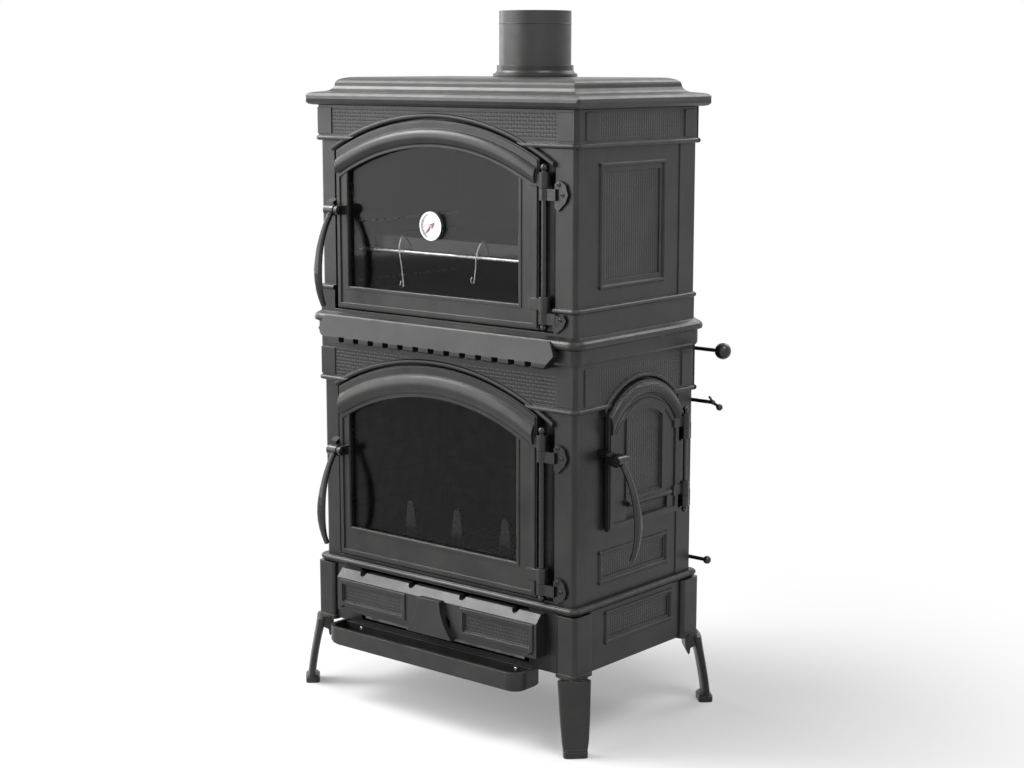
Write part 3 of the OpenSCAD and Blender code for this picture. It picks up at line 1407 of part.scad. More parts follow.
// Slide plate under the cornice, its arm through the back and its rod with a ball
module smoke_damper() {
  z1 = z_cornice - plate_gap;
  color(dark_iron) {
    difference() {
      block([-3 * port_w / 2 - 125, port_y0 - 2 + plate_gap, z_cornice - 7.2], [port_pitch + port_w / 2 + 8, port_y1 + 2 - plate_gap, z1]);
      for (i = [-1:1]) block([i * port_pitch - damper_travel - port_w / 2, port_y0 + 5, z_cornice - 9], [i * port_pitch - damper_travel + port_w / 2, port_y1 - 5, z1 + 1]);
    }
    block([-30, port_y1 - 2, z_cornice - 7], [-8, control_y, z1]);
    block([-30, control_y - 7, damper_z - 8], [-8, control_y + 7, z1]);
    translate([-19, control_y, damper_z]) rotate([0, 90, 0]) cylinder(h = hw + damper_reach + 19, d = control_d);
    translate([hw + damper_reach, control_y, damper_z]) sphere(d = ball_d);
  }
}

// Slide plate over the air ports, with its rod
module air_slide(z, reach) {
  color(dark_iron) {
    difference() {
      block([-2 * air_pitch + 8, bd + 0.3, z - 14], [1.5 * air_pitch, bd + 3.3, z + 14]);
      for (i = [-1:1]) block([i * air_pitch - air_pitch / 2 - 12, bd, z - 9], [i * air_pitch - air_pitch / 2 + 12, bd + 4, z + 9]);
    }
    block([1.5 * air_pitch - 14, bd + 3, z - 6], [1.5 * air_pitch, control_y + 6, z + 6]);
    translate([1.5 * air_pitch - 7, control_y, z]) rotate([0, 90, 0]) cylinder(h = hw + reach - 1.5 * air_pitch + 7, d = control_d);
  }
}

module secondary_air() {
  air_slide(secondary_z, 34);
  color(black) {
    translate([hw + 34, control_y, secondary_z]) {
      sphere(d = control_d + 2);
      rotate([0, 118, 0]) cylinder(h = 18, d = control_d - 1.5);
      rotate([0, -40, 0]) cylinder(h = 15, d = 5);
    }
    translate([hw + 34 + 16, control_y, secondary_z - 8.5]) sphere(d = 14);
  }
}

module primary_air() {
  air_slide(primary_z, 22);
  color(black) translate([hw + 26, control_y, primary_z]) sphere(d = 17);
}

top_slab();
flue_collar();
flue_pipe();
upper_front();
upper_left_side();
upper_right_side();
upper_back();
cornice_plate();
front_hood();
lower_front();
lower_left_side();
lower_right_side();
lower_back();
rear_shield();
rod_guides();
base_frame();
base_plate();
ash_lip();
leg_front_left();
leg_front_right();
leg_back_left();
leg_back_right();
oven_box();
oven_runners();
oven_rack();
drip_tray();
smoke_baffle();
hearth_plate();
fire_grate();
liner_left();
liner_right();
liner_back();
log_guard();
hinge_rods();
hinge_brackets();
latch_keepers();
oven_door();
oven_glass();
oven_gasket();
oven_glass_clips();
oven_handle_pin();
thermometer_case();
thermometer_needle();
oven_handle();
fire_door();
fire_glass();
fire_gasket();
fire_glass_clips();
fire_handle_pin();
fire_handle();
side_door();
side_gasket();
side_handle_pin();
side_handle();
drawer_front();
ash_pan();
smoke_damper();
secondary_air();
primary_air();
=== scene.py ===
# %% [markdown]
# # A cast-iron stove with an oven, dressed in Blender
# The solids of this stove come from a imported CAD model, where every plate,
# door, lever and rod is a piece of its own and rides on the body it moves
# with. This lesson gives those solids their finishes, adds the fine pieces
# that a drawing leaves out, and sets up a plain studio to look at them in.
# Everything is in metres: X to the right, Y to the back, Z up.

# %% Load the frame
import json
import math

import bmesh
import bpy
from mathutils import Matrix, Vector


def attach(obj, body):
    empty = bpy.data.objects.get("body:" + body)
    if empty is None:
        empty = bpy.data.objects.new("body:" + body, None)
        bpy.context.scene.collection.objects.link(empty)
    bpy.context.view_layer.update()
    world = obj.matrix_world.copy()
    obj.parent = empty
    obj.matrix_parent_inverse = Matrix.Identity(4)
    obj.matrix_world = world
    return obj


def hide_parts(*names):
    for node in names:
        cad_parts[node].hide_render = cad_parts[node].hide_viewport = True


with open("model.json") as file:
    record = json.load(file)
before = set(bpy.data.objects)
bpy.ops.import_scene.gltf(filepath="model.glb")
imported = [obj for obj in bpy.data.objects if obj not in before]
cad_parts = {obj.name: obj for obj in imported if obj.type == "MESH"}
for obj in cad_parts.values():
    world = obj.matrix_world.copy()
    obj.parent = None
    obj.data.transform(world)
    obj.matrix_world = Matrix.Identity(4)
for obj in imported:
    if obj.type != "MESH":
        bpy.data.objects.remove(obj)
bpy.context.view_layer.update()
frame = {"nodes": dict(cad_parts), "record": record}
nodes = frame["nodes"]

# %% [markdown]
# ## The camera
# The stove was seen from its front right, a little above its upper door. A
# camera can be placed by eye, but here it was solved from the upright and
# level edges of the castings, so that the levels of the mouldings agree from
# the feet to the top slab. A long lens keeps the uprights nearly parallel.

# %% Camera
CAMERA_PLACE = (2.54757, -3.01982, 1.33892)
CAMERA_TILT = 80.364
CAMERA_TURN = 39.95
CAMERA_LENS = 67.03

camera_data = bpy.data.cameras.new("camera")
camera_data.lens = CAMERA_LENS
camera_data.sensor_width = 36
camera = bpy.data.objects.new("camera", camera_data)
camera.location = CAMERA_PLACE
camera.rotation_euler = (math.radians(CAMERA_TILT), 0, math.radians(CAMERA_TURN))
bpy.context.scene.collection.objects.link(camera)
bpy.context.scene.camera = camera
print("camera at", tuple(round(v, 2) for v in camera.location))

# %% [markdown]
# ## The studio
# Dark iron shows its form by reflections more than by shading, so each soft
# lamp stands where some family of faces would mirror it to the camera. The
# front faces mirror the front left, and the shoulders of the mouldings and
# arches mirror a place higher up on that side. The flue and the left edges
# mirror the far left, the arch of the side door mirrors a place high on the
# right, and the ledges of that side mirror the back. A wide lamp on the
# camera's right keeps that side from going black. The front lamp and the fill
# are very wide, because the flat top mirrors them at a low angle and a small
# strong lamp would burn it out. The lamps don't show to the camera.

# %% Lamps
def soft_lamp(name, place, aim, width, height, watts):
    """A rectangular lamp at a place in metres, turned to the point it aims at."""
    data = bpy.data.lights.new(name, "AREA")
    data.shape = "RECTANGLE"
    data.size = width
    data.size_y = height
    data.energy = watts
    lamp = bpy.data.objects.new(name, data)
    lamp.location = place
    lamp.rotation_euler = (Vector(aim) - Vector(place)).to_track_quat("-Z", "Y").to_euler()
    lamp.visible_camera = False
    bpy.context.scene.collection.objects.link(lamp)


soft_lamp("front_softbox", (-2.6, -3.1, 2.4), (0, 0, 1.1), 4.6, 4.0, 165)
soft_lamp("high_softbox", (-2.3, -1.1, 3.4), (0, 0, 0.9), 1.8, 1.8, 130)
soft_lamp("left_strip", (-3.2, 0.2, 1.3), (0, 0, 0.8), 1.2, 2.4, 30)
soft_lamp("top_right_softbox", (1.9, -0.5, 3.4), (0, 0, 0.9), 1.4, 1.4, 40)
soft_lamp("back_softbox", (0.4, 2.6, 2.8), (0, 0, 1.0), 2.0, 1.4, 30)
soft_lamp("camera_fill", (3.3, -2.9, 2.4), (0, 0, 1.0), 3.0, 3.0, 15)

# %% [markdown]
# ### The room round the stove
# The room is white to the camera, in reflections and through glass, so the
# background is plain and the metal and the panes show it too. To the soft
# light that falls on the iron it is only a weak grey, or it would fill every
# shadow. One world can be both: Light Path tells what kind of ray asks, and a
# Mix Shader picks the answer. The white is mirrored by all the iron, so the
# shine of the paint is kept a little low.

# %% World, white for the camera and in reflections
FILL_STRENGTH = 0.10


def seen_or_mirrored(tree):
    """1 for a ray of the camera, and for one mirrored or let through, otherwise 0."""
    paths = tree.nodes.new("ShaderNodeLightPath")
    value = paths.outputs["Is Camera Ray"]
    for kind in ("Is Glossy Ray", "Is Transmission Ray"):
        larger = tree.nodes.new("ShaderNodeMath")
        larger.operation = "MAXIMUM"
        tree.links.new(value, larger.inputs[0])
        tree.links.new(paths.outputs[kind], larger.inputs[1])
        value = larger.outputs[0]
    return value


world = bpy.data.worlds.new("studio")
bpy.context.scene.world = world
world.use_nodes = True
tree = world.node_tree
tree.nodes.clear()
fill_light = tree.nodes.new("ShaderNodeBackground")
fill_light.inputs["Color"].default_value = (1, 1, 1, 1)
fill_light.inputs["Strength"].default_value = FILL_STRENGTH
white_wall = tree.nodes.new("ShaderNodeBackground")
white_wall.inputs["Color"].default_value = (1, 1, 1, 1)
white_wall.inputs["Strength"].default_value = 1.0
either = tree.nodes.new("ShaderNodeMixShader")
tree.links.new(seen_or_mirrored(tree), either.inputs[0])
tree.links.new(fill_light.outputs[0], either.inputs[1])
tree.links.new(white_wall.outputs[0], either.inputs[2])
output = tree.nodes.new("ShaderNodeOutputWorld")
tree.links.new(either.outputs[0], output.inputs["Surface"])
bpy.context.scene.view_settings.view_transform = "Standard"
print("world nodes:", len(tree.nodes))

# %% [markdown]
# ## The floor
# A plain pale floor carries the shadow of the feet. Near the stove it is
# mostly a matt surface; further out it fades to plain white for the camera
# and in reflections, so no line shows where it ends. For the soft light that
# bounces it is a dull grey, or the lower castings would be lit from below.

# %% Floor
FLOOR_REACH = 9
# Distances from the stove's middle where the fade to white starts and ends
FADE_START = 0.45
FADE_END = 1.5
GLOW_AT_STOVE = 0.25

floor_mesh = bpy.data.meshes.new("studio_floor")
corners = [(x * FLOOR_REACH, y * FLOOR_REACH, 0) for x, y in ((-1, -1), (1, -1), (1, 1), (-1, 1))]
floor_mesh.from_pydata(corners, [], [(0, 1, 2, 3)])
floor = bpy.data.objects.new("studio_floor", floor_mesh)
bpy.context.scene.collection.objects.link(floor)
pale = bpy.data.materials.new("pale_floor")
pale.use_nodes = True
tree = pale.node_tree
matt = tree.nodes["Principled BSDF"]
matt.inputs["Base Color"].default_value = (0.86, 0.86, 0.86, 1)
matt.inputs["Roughness"].default_value = 0.9
matt.inputs["Specular IOR Level"].default_value = 0.1
glow = tree.nodes.new("ShaderNodeEmission")
glow.inputs["Color"].default_value = (1, 1, 1, 1)
coords = tree.nodes.new("ShaderNodeTexCoord")
reach = tree.nodes.new("ShaderNodeVectorMath")
reach.operation = "LENGTH"
fade = tree.nodes.new("ShaderNodeMapRange")
fade.interpolation_type = "SMOOTHSTEP"
fade.inputs["From Min"].default_value = FADE_START
fade.inputs["From Max"].default_value = FADE_END
fade.inputs["To Min"].default_value = GLOW_AT_STOVE
dull = tree.nodes.new("ShaderNodeBsdfDiffuse")
dull.inputs["Color"].default_value = (0.22, 0.22, 0.22, 1)
either = tree.nodes.new("ShaderNodeMixShader")
seen_floor = tree.nodes.new("ShaderNodeMixShader")
tree.links.new(coords.outputs["Object"], reach.inputs[0])
tree.links.new(reach.outputs["Value"], fade.inputs["Value"])
tree.links.new(fade.outputs["Result"], either.inputs[0])
tree.links.new(matt.outputs[0], either.inputs[1])
tree.links.new(glow.outputs[0], either.inputs[2])
tree.links.new(seen_or_mirrored(tree), seen_floor.inputs[0])
tree.links.new(dull.outputs[0], seen_floor.inputs[1])
tree.links.new(either.outputs[0], seen_floor.inputs[2])
tree.links.new(seen_floor.outputs[0], tree.nodes["Material Output"].inputs["Surface"])
floor_mesh.materials.append(pale)
print("floor laid")

# %% [markdown]
# ## Finishes
# Each finish is a small network of nodes. They share a few steps, so these
# come first as helpers: a noise read in the stove's own coordinates, a ramp
# between two colours, and a bump. Object coordinates are used throughout
# because a casting has no unwrapping, and they stay with the piece when a
# door swings.

# %% Helpers for finishes
class Finish:
    """A material whose nodes are added one by one round a Principled shader."""

    def __init__(self, name, color, roughness, metallic=0.0):
        self.material = bpy.data.materials.new(name)
        self.material.use_nodes = True
        self.tree = self.material.node_tree
        self.shader = self.tree.nodes["Principled BSDF"]
        self.shader.inputs["Base Color"].default_value = (*color, 1)
        self.shader.inputs["Roughness"].default_value = roughness
        self.shader.inputs["Metallic"].default_value = metallic
        self.place = self.tree.nodes.new("ShaderNodeTexCoord").outputs["Object"]
        self.height = None

    def node(self, kind, **settings):
        new = self.tree.nodes.new(kind)
        for key, value in settings.items():
            setattr(new, key, value)
        return new

    def link(self, a, b):
        self.tree.links.new(a, b)

    def math(self, operation, a, b=0.0):
        new = self.node("ShaderNodeMath", operation=operation)
        for socket, value in zip(new.inputs, (a, b)):
            if isinstance(value, (int, float)):
                socket.default_value = value
            else:
                self.link(value, socket)
        return new.outputs[0]

    def noise(self, scale, detail=3.0, place=None):
        new = self.node("ShaderNodeTexNoise")
        new.inputs["Scale"].default_value = scale
        new.inputs["Detail"].default_value = detail
        self.link(place or self.place, new.inputs["Vector"])
        return new.outputs["Fac"]

    def ramp(self, value, low, high, start=0.0, end=1.0):
        """A number squeezed from start..end to low..high."""
        new = self.node("ShaderNodeMapRange")
        for key, number in (("From Min", start), ("From Max", end), ("To Min", low), ("To Max", high)):
            new.inputs[key].default_value = number
        self.link(value, new.inputs["Value"])
        return new.outputs["Result"]

    def within(self, value, low, high):
        """1 where a coordinate lies between low and high, otherwise 0."""
        new = self.node("ShaderNodeMath", operation="COMPARE")
        self.link(value, new.inputs[0])
        new.inputs[1].default_value = (low + high) / 2
        new.inputs[2].default_value = (high - low) / 2
        return new.outputs[0]

    def blend(self, value, dark, light):
        new = self.node("ShaderNodeMix", data_type="RGBA")
        new.inputs[6].default_value = (*dark, 1)
        new.inputs[7].default_value = (*light, 1)
        self.link(value, new.inputs[0])
        return new.outputs[2]

    def paint(self, color):
        self.link(color, self.shader.inputs["Base Color"])

    def roughen(self, value):
        self.link(value, self.shader.inputs["Roughness"])

    def clouded(self, scale, detail, dark, light, start=0.3, end=0.7):
        """Colour that drifts between dark and light with a noise."""
        self.paint(self.blend(self.ramp(self.noise(scale, detail), 0, 1, start, end), dark, light))

    def uneven_shine(self, scale, detail, low, high, start=0.3, end=0.7):
        """Roughness that drifts between low and high with a noise."""
        self.roughen(self.ramp(self.noise(scale, detail), low, high, start, end))

    def bump(self, value, depth, strength=1.0):
        new = self.node("ShaderNodeBump")
        new.inputs["Distance"].default_value = depth
        new.inputs["Strength"].default_value = strength
        self.link(value, new.inputs["Height"])
        if self.height:
            self.link(self.height, new.inputs["Normal"])
        self.height = new.outputs["Normal"]
        self.link(self.height, self.shader.inputs["Normal"])


print("helpers ready")

# %% [markdown]
# ### Cast iron
# The body is iron cast in sand and painted with a matt graphite paint. The
# sand leaves a fine grain, the paint lies a little thicker in some places,
# and handling polishes the corners. The grain is a bump of half a millimetre,
# the paint a slow change of grey. The edges are found with a Bevel node,
# which gives the direction of a rounded edge: where it turns away from that
# of the true face, the paint is paler, partly as that wear and partly as a
# painted highlight where the edges catch the light. The back, the base plate
# and the castings inside have a duller finish, whose edges are as dark as the
# rest.

# %% Cast iron
EDGE_RADIUS = 0.0016
GRAIN_DEPTH = 0.0005


def cast_iron(name, dark, light, roughness, edge):
    """Painted iron; edge says how far a rounded edge goes from the dark tone to the light, partly as wear
    and partly as a painted highlight.
    """
    iron = Finish(name, dark, roughness)
    rounded = iron.node("ShaderNodeBevel", samples=4)
    rounded.inputs["Radius"].default_value = EDGE_RADIUS
    iron.height = rounded.outputs["Normal"]
    flat = iron.node("ShaderNodeNewGeometry")
    agree = iron.node("ShaderNodeVectorMath", operation="DOT_PRODUCT")
    iron.link(rounded.outputs["Normal"], agree.inputs[0])
    iron.link(flat.outputs["Normal"], agree.inputs[1])
    # Rounded edges turn paler: partly wear, partly a painted highlight where edges catch the light
    worn_and_highlit_edge = iron.ramp(agree.outputs["Value"], edge, 0.0, 0.80, 0.985)
    cloud = iron.noise(14, 4)
    tone = iron.math("ADD", iron.ramp(cloud, 0.0, 0.22, 0.3, 0.7), worn_and_highlit_edge)
    iron.paint(iron.blend(tone, dark, light))
    iron.uneven_shine(30, 2, roughness - 0.02, roughness + 0.04, 0.35, 0.65)
    iron.bump(iron.noise(520, 3), GRAIN_DEPTH, 0.4)
    return iron


# The paler edges of the graphite iron are partly wear and partly a painted highlight
graphite = cast_iron("graphite_cast_iron", (0.0130, 0.0122, 0.0117), (0.105, 0.100, 0.097), 0.33, 0.75)
graphite.shader.inputs["Specular IOR Level"].default_value = 0.4
sooty = cast_iron("inner_cast_iron", (0.018, 0.018, 0.018), (0.045, 0.043, 0.042), 0.55, 0.0)
sooty.shader.inputs["Specular IOR Level"].default_value = 0.05
print("iron finishes:", graphite.material.name, sooty.material.name)

# %% [markdown]
# ### The woven fields
# The friezes, the panels and the drawer carry a fine basket weave that was
# pressed into the sand with the pattern. Each strand rises and falls over one
# cell and crosses its neighbour in the next, so the height is a half wave
# that turns by a quarter from cell to cell. Modelled strand by strand it
# would take a million faces for half a millimetre of relief, so it is a bump.
# The fields are boxes in the stove's own coordinates, and an arch cuts the
# two front friezes, as the moulding over each door does on the casting.

# %% Weave of the cast fields
WEAVE_PITCH = 0.0072
WEAVE_RISE = 0.0006
STRAND_FLATNESS = 0.35
# A front face lies before this y, and a side face beyond this x
FRONT_FACE = -0.199
SIDE_FACE = 0.336
# Fields on the front: x to each side, z, and the circle that cuts them, as
# its middle and radius. A start below 0 takes in the middle of the front.
FRONT_FIELDS = (
    ((-1.0, 0.298), (1.190, 1.243), (-0.0165, 0.639, 0.599)),
    ((-1.0, 0.298), (0.682, 0.741), (-0.0195, 0.157, 0.586)),
    ((0.090, 0.252), (0.203, 0.237), None),
)
# Fields on a side: y and z
SIDE_FIELDS = (
    ((-0.136, 0.146), (1.188, 1.243)),
    ((-0.136, 0.146), (0.682, 0.750)),
    ((-0.106, 0.072), (0.922, 1.129)),
    ((-0.106, 0.100), (0.331, 0.373)),
    ((-0.091, 0.111), (0.207, 0.249)),
)
# Fields on the right side only, on the loading door
DOOR_FIELDS = (((-0.041, 0.065), (0.488, 0.652)), ((-0.048, 0.092), (0.439, 0.464)))
# Field on the left side only, where the right side has its loading door
LEFT_FIELDS = (((-0.106, 0.100), (0.421, 0.635)),)


def woven_fields(iron):
    split = iron.node("ShaderNodeSeparateXYZ")
    iron.link(iron.place, split.inputs[0])
    x, y, z = split.outputs
    from_middle = iron.math("ABSOLUTE", x)
    masks = []
    on_front = iron.math("LESS_THAN", y, FRONT_FACE)
    for (x0, x1), (z0, z1), arch in FRONT_FIELDS:
        mask = iron.math("MULTIPLY", iron.within(from_middle, x0, x1), iron.within(z, z0, z1))
        mask = iron.math("MULTIPLY", mask, on_front)
        if arch:
            off_x = iron.math("SUBTRACT", x, arch[0])
            off_z = iron.math("SUBTRACT", z, arch[1])
            square_x = iron.math("MULTIPLY", off_x, off_x)
            square_z = iron.math("MULTIPLY", off_z, off_z)
            outside = iron.math("GREATER_THAN", iron.math("ADD", square_x, square_z), arch[2] ** 2)
            mask = iron.math("MULTIPLY", mask, outside)
        masks.append(mask)
    to_left = iron.math("MULTIPLY", x, -1.0)
    sides = ((from_middle, SIDE_FIELDS), (x, DOOR_FIELDS), (to_left, LEFT_FIELDS))
    for outward, fields in sides:
        on_side = iron.math("GREATER_THAN", outward, SIDE_FACE)
        for (y0, y1), (z0, z1) in fields:
            mask = iron.math("MULTIPLY", iron.within(y, y0, y1), iron.within(z, z0, z1))
            masks.append(iron.math("MULTIPLY", mask, on_side))
    mask = masks[0]
    for other in masks[1:]:
        mask = iron.math("MAXIMUM", mask, other)
    along = iron.math("DIVIDE", iron.math("ADD", x, y), WEAVE_PITCH)
    up = iron.math("DIVIDE", z, WEAVE_PITCH)
    cell = iron.math("ADD", iron.math("FLOOR", along), iron.math("FLOOR", up))
    odd = iron.math("FLOORED_MODULO", cell, 2.0)
    even = iron.math("SUBTRACT", 1.0, odd)
    waves = []
    for value in (along, up):
        waves.append(iron.math("ABSOLUTE", iron.math("SINE", iron.math("MULTIPLY", value, math.pi))))
    strands = []
    for here, run, across in ((odd, waves[0], waves[1]), (even, waves[1], waves[0])):
        rounded = iron.math("MULTIPLY", run, iron.math("POWER", across, STRAND_FLATNESS))
        strands.append(iron.math("MULTIPLY", here, rounded))
    over, under = strands
    iron.bump(iron.math("MULTIPLY", mask, iron.math("ADD", over, under)), WEAVE_RISE)
    return len(masks)


print("woven fields:", woven_fields(graphite))

# %% [markdown]
# ### Other metals
# The levers, hinges and controls wear a glossy black enamel, the flue pipe and
# the rear shield a plain paint, and the oven and its tray are enamelled sheet.
# The ash pan is bare grey sheet, and the oven's rack, runners and clips are
# bright steel. Each could be one flat colour, but then it looks like plastic,
# so a noise moves the colour or the shine of most of them a little, and a
# fine bump breaks the reflections.

# %% Other metals
lever = Finish("black_lever_enamel", (0.008, 0.008, 0.008), 0.25)
lever.uneven_shine(90, 2, 0.2, 0.32, 0.35, 0.65)
lever.bump(lever.noise(260, 3), 0.0004, 0.4)

bright = Finish("bright_steel", (0.55, 0.55, 0.56), 0.26, 1.0)
bright.uneven_shine(300, 2, 0.2, 0.36)
bright.bump(bright.noise(700, 2), 0.0002, 0.3)

flue = Finish("flue_pipe_paint", (0.03, 0.029, 0.028), 0.40)
flue.clouded(9, 3, (0.022, 0.021, 0.0205), (0.040, 0.038, 0.037))
flue.uneven_shine(50, 2, 0.36, 0.46, 0.35, 0.65)
flue.bump(flue.noise(500, 2), 0.0003, 0.4)

shield = Finish("shield_paint", (0.04, 0.04, 0.042), 0.5)
shield.clouded(6, 3, (0.035, 0.035, 0.037), (0.06, 0.06, 0.06))
shield.bump(shield.noise(600, 2), 0.0002, 0.4)

oven_sheet = Finish("oven_enamel", (0.02, 0.02, 0.021), 0.35)
oven_sheet.bump(oven_sheet.noise(40, 2), 0.0005, 0.2)

tray = Finish("tray_enamel", (0.010, 0.010, 0.011), 0.16)
tray.bump(tray.noise(30, 2), 0.0005, 0.15)

pan = Finish("pan_sheet", (0.22, 0.22, 0.22), 0.45, 1.0)
pan.clouded(45, 2, (0.16, 0.16, 0.165), (0.3, 0.3, 0.3), 0.35, 0.65)
pan.bump(pan.noise(45, 2), 0.0003, 0.3)

needle_paint = Finish("needle_paint", (0.45, 0.03, 0.02), 0.4)
needle_paint.bump(needle_paint.noise(800, 2), 0.0001, 0.2)
print("metals made")

# %% [markdown]
# ### Fire bricks, rope and glass
# The firebox is lined with slabs whose joints are scored like brickwork. A
# joint shows wherever the place within a brick is close to 0, with every
# second course shifted by half a brick, so two divisions draw the whole wall.
# The panes are ceramic glass, nearly clear and faintly dark. A low Alpha lets
# what lies behind them show without tracing bent light, and what is left of
# the surface still mirrors the room. The dial's lens is made in the same way.

# %% Fire bricks, rope and glass
BRICK_LENGTH = 0.111
BRICK_HEIGHT = 0.063
JOINT = 0.0015

brick = Finish("fire_brick", (0.20, 0.18, 0.155), 0.9)
soot = brick.ramp(brick.noise(22, 5), 0, 1, 0.3, 0.7)
parts = brick.node("ShaderNodeSeparateXYZ")
brick.link(brick.place, parts.inputs[0])
row = brick.math("DIVIDE", parts.outputs[2], BRICK_HEIGHT)
shift = brick.math("MULTIPLY", brick.math("FLOORED_MODULO", brick.math("FLOOR", row), 2.0), 0.5)
course = brick.math("ADD", parts.outputs[0], parts.outputs[1])
place = brick.math("ADD", brick.math("DIVIDE", course, BRICK_LENGTH), shift)
level_joint = brick.within(brick.math("FRACT", row), 0, JOINT / BRICK_HEIGHT)
upright_joint = brick.within(brick.math("FRACT", place), 0, JOINT / BRICK_LENGTH)
joint = brick.math("MAXIMUM", level_joint, upright_joint)
clean = brick.math("SUBTRACT", 1.0, joint)
brick.paint(brick.blend(brick.math("MULTIPLY", soot, clean), (0.022, 0.019, 0.017), (0.085, 0.072, 0.062)))
brick.bump(clean, 0.002, 0.8)
brick.bump(brick.noise(160, 3), 0.0006, 0.5)

rope = Finish("glass_fibre_rope", (0.16, 0.155, 0.145), 0.95)
rope.clouded(240, 3, (0.09, 0.088, 0.082), (0.24, 0.235, 0.22))
rope.bump(rope.noise(900, 3), 0.0006, 0.6)

glass = Finish("door_glass", (0.006, 0.006, 0.006), 0.04)
glass.shader.inputs["Alpha"].default_value = 0.22
glass.uneven_shine(5, 3, 0.02, 0.06)

lens = Finish("dial_lens", (0.9, 0.9, 0.9), 0.03)
lens.shader.inputs["Alpha"].default_value = 0.12
lens.uneven_shine(8, 2, 0.02, 0.05)

dial_paint = Finish("dial_face_enamel", (0.62, 0.61, 0.57), 0.35)
dial_paint.paint(dial_paint.blend(dial_paint.noise(60, 3), (0.52, 0.51, 0.47), (0.70, 0.69, 0.65)))
dial_paint.bump(dial_paint.noise(900, 2), 0.0001, 0.2)

dial_ink = Finish("dial_ink", (0.02, 0.02, 0.02), 0.5)
dial_ink.uneven_shine(500, 2, 0.42, 0.6)

dial_red = Finish("dial_red", (0.40, 0.03, 0.02), 0.5)
dial_red.uneven_shine(500, 2, 0.42, 0.6)
print("brick, rope, glass and dial finishes made")

# %% [markdown]
# ### From slots to finishes
# The CAD model says of every solid which material slot it belongs to. One
# table gives each slot its finish, so a changed finish reaches every piece
# that is made of it.

# %% Every solid gets the finish of its slot
finish_of_slot = {
    "cast_iron": graphite,
    "inner_iron": sooty,
    "flue_steel": flue,
    "shield_steel": shield,
    "oven_steel": oven_sheet,
    "bright_steel": bright,
    "black_enamel": tray,
    "liner": brick,
    "lever_black": lever,
    "door_glass": glass,
    "rope": rope,
    "needle": needle_paint,
    "pan_steel": pan,
    "control_iron": lever,
}
for part in frame["record"]["subparts"]:
    for place in nodes[part["node"]].material_slots:
        place.material = finish_of_slot[part["material_slot"]].material

# %% [markdown]
# ## Pieces that a drawing leaves out
# Each new piece is a mesh built from points in metres, at the place that the
# solids give it. A small function turns a list of points and faces into an
# object, gives it a finish, and says which body it rides on.

# %% A function for new pieces
def add_piece(name, points, faces, finish, body, slot, smooth=True):
    mesh = bpy.data.meshes.new(name)
    mesh.from_pydata([tuple(p) for p in points], [], faces)
    mesh.validate()
    shell = bmesh.new()
    shell.from_mesh(mesh)
    bmesh.ops.remove_doubles(shell, verts=shell.verts, dist=0.00001)
    bmesh.ops.recalc_face_normals(shell, faces=shell.faces)
    for face in shell.faces:
        face.smooth = smooth
    shell.to_mesh(mesh)
    shell.free()
    mesh.materials.append(finish.material)
    new = bpy.data.objects.new(name, mesh)
    bpy.context.scene.collection.objects.link(new)
    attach(new, body)
    return new


def ring_faces(start, rings, count, closed):
    """Quads between rings of points; closed joins the last ring to the first."""
    faces = []
    for j in range(rings if closed else rings - 1):
        a = start + j * count
        b = start + ((j + 1) % rings) * count
        for i in range(count):
            k = (i + 1) % count
            faces.append((a + i, a + k, b + k, b + i))
    return faces


print("piece builder ready")

# %% [markdown]
# ### Rope gaskets
# Each door shuts against a braided rope of glass fibre, pressed into a groove
# round the back of the leaf. The rope follows the outline of its door: a
# level foot, two upright sides and an arch. The line is cut into short equal
# steps, its corners are eased by averaging neighbours, and a flat ring is
# carried along it. Two families of spirals raise the surface where a strand
# lies on top, which is what a braid looks like from outside.

# %% Gaskets
ROPE_STEP = 0.0022
ROPE_SIDES = 14
BRAID_PITCH = 0.013
# Share of the rope's thickness by which its strands rise and fall
BRAID_RELIEF = 0.10
ARCH_CHORDS = 40


def arched_line(middle, width, foot, crown, radius):
    """Corner points of a door outline, with the arch in short chords."""
    half = width / 2
    centre = crown - radius
    swing = math.asin(half / radius)
    line = [(middle - half, foot), (middle + half, foot)]
    for i in range(ARCH_CHORDS + 1):
        a = swing - 2 * swing * i / ARCH_CHORDS
        line.append((middle + radius * math.sin(a), centre + radius * math.cos(a)))
    return line


def even_steps(line, step):
    closed = line + line[:1]
    lengths = [math.dist(a, b) for a, b in zip(closed, closed[1:])]
    count = round(sum(lengths) / step)
    step = sum(lengths) / count
    out, i, done = [], 0, 0.0
    for n in range(count):
        target = n * step
        while done + lengths[i] < target:
            done += lengths[i]
            i += 1
        t = (target - done) / lengths[i]
        out.append(tuple(a + (b - a) * t for a, b in zip(closed[i], closed[i + 1])))
    return out


def eased(line, rounds=6):
    for _ in range(rounds):
        line = [
            tuple((a + 2 * b + c) / 4 for a, b, c in zip(line[i - 1], line[i], line[(i + 1) % len(line)]))
            for i in range(len(line))
        ]
    return line


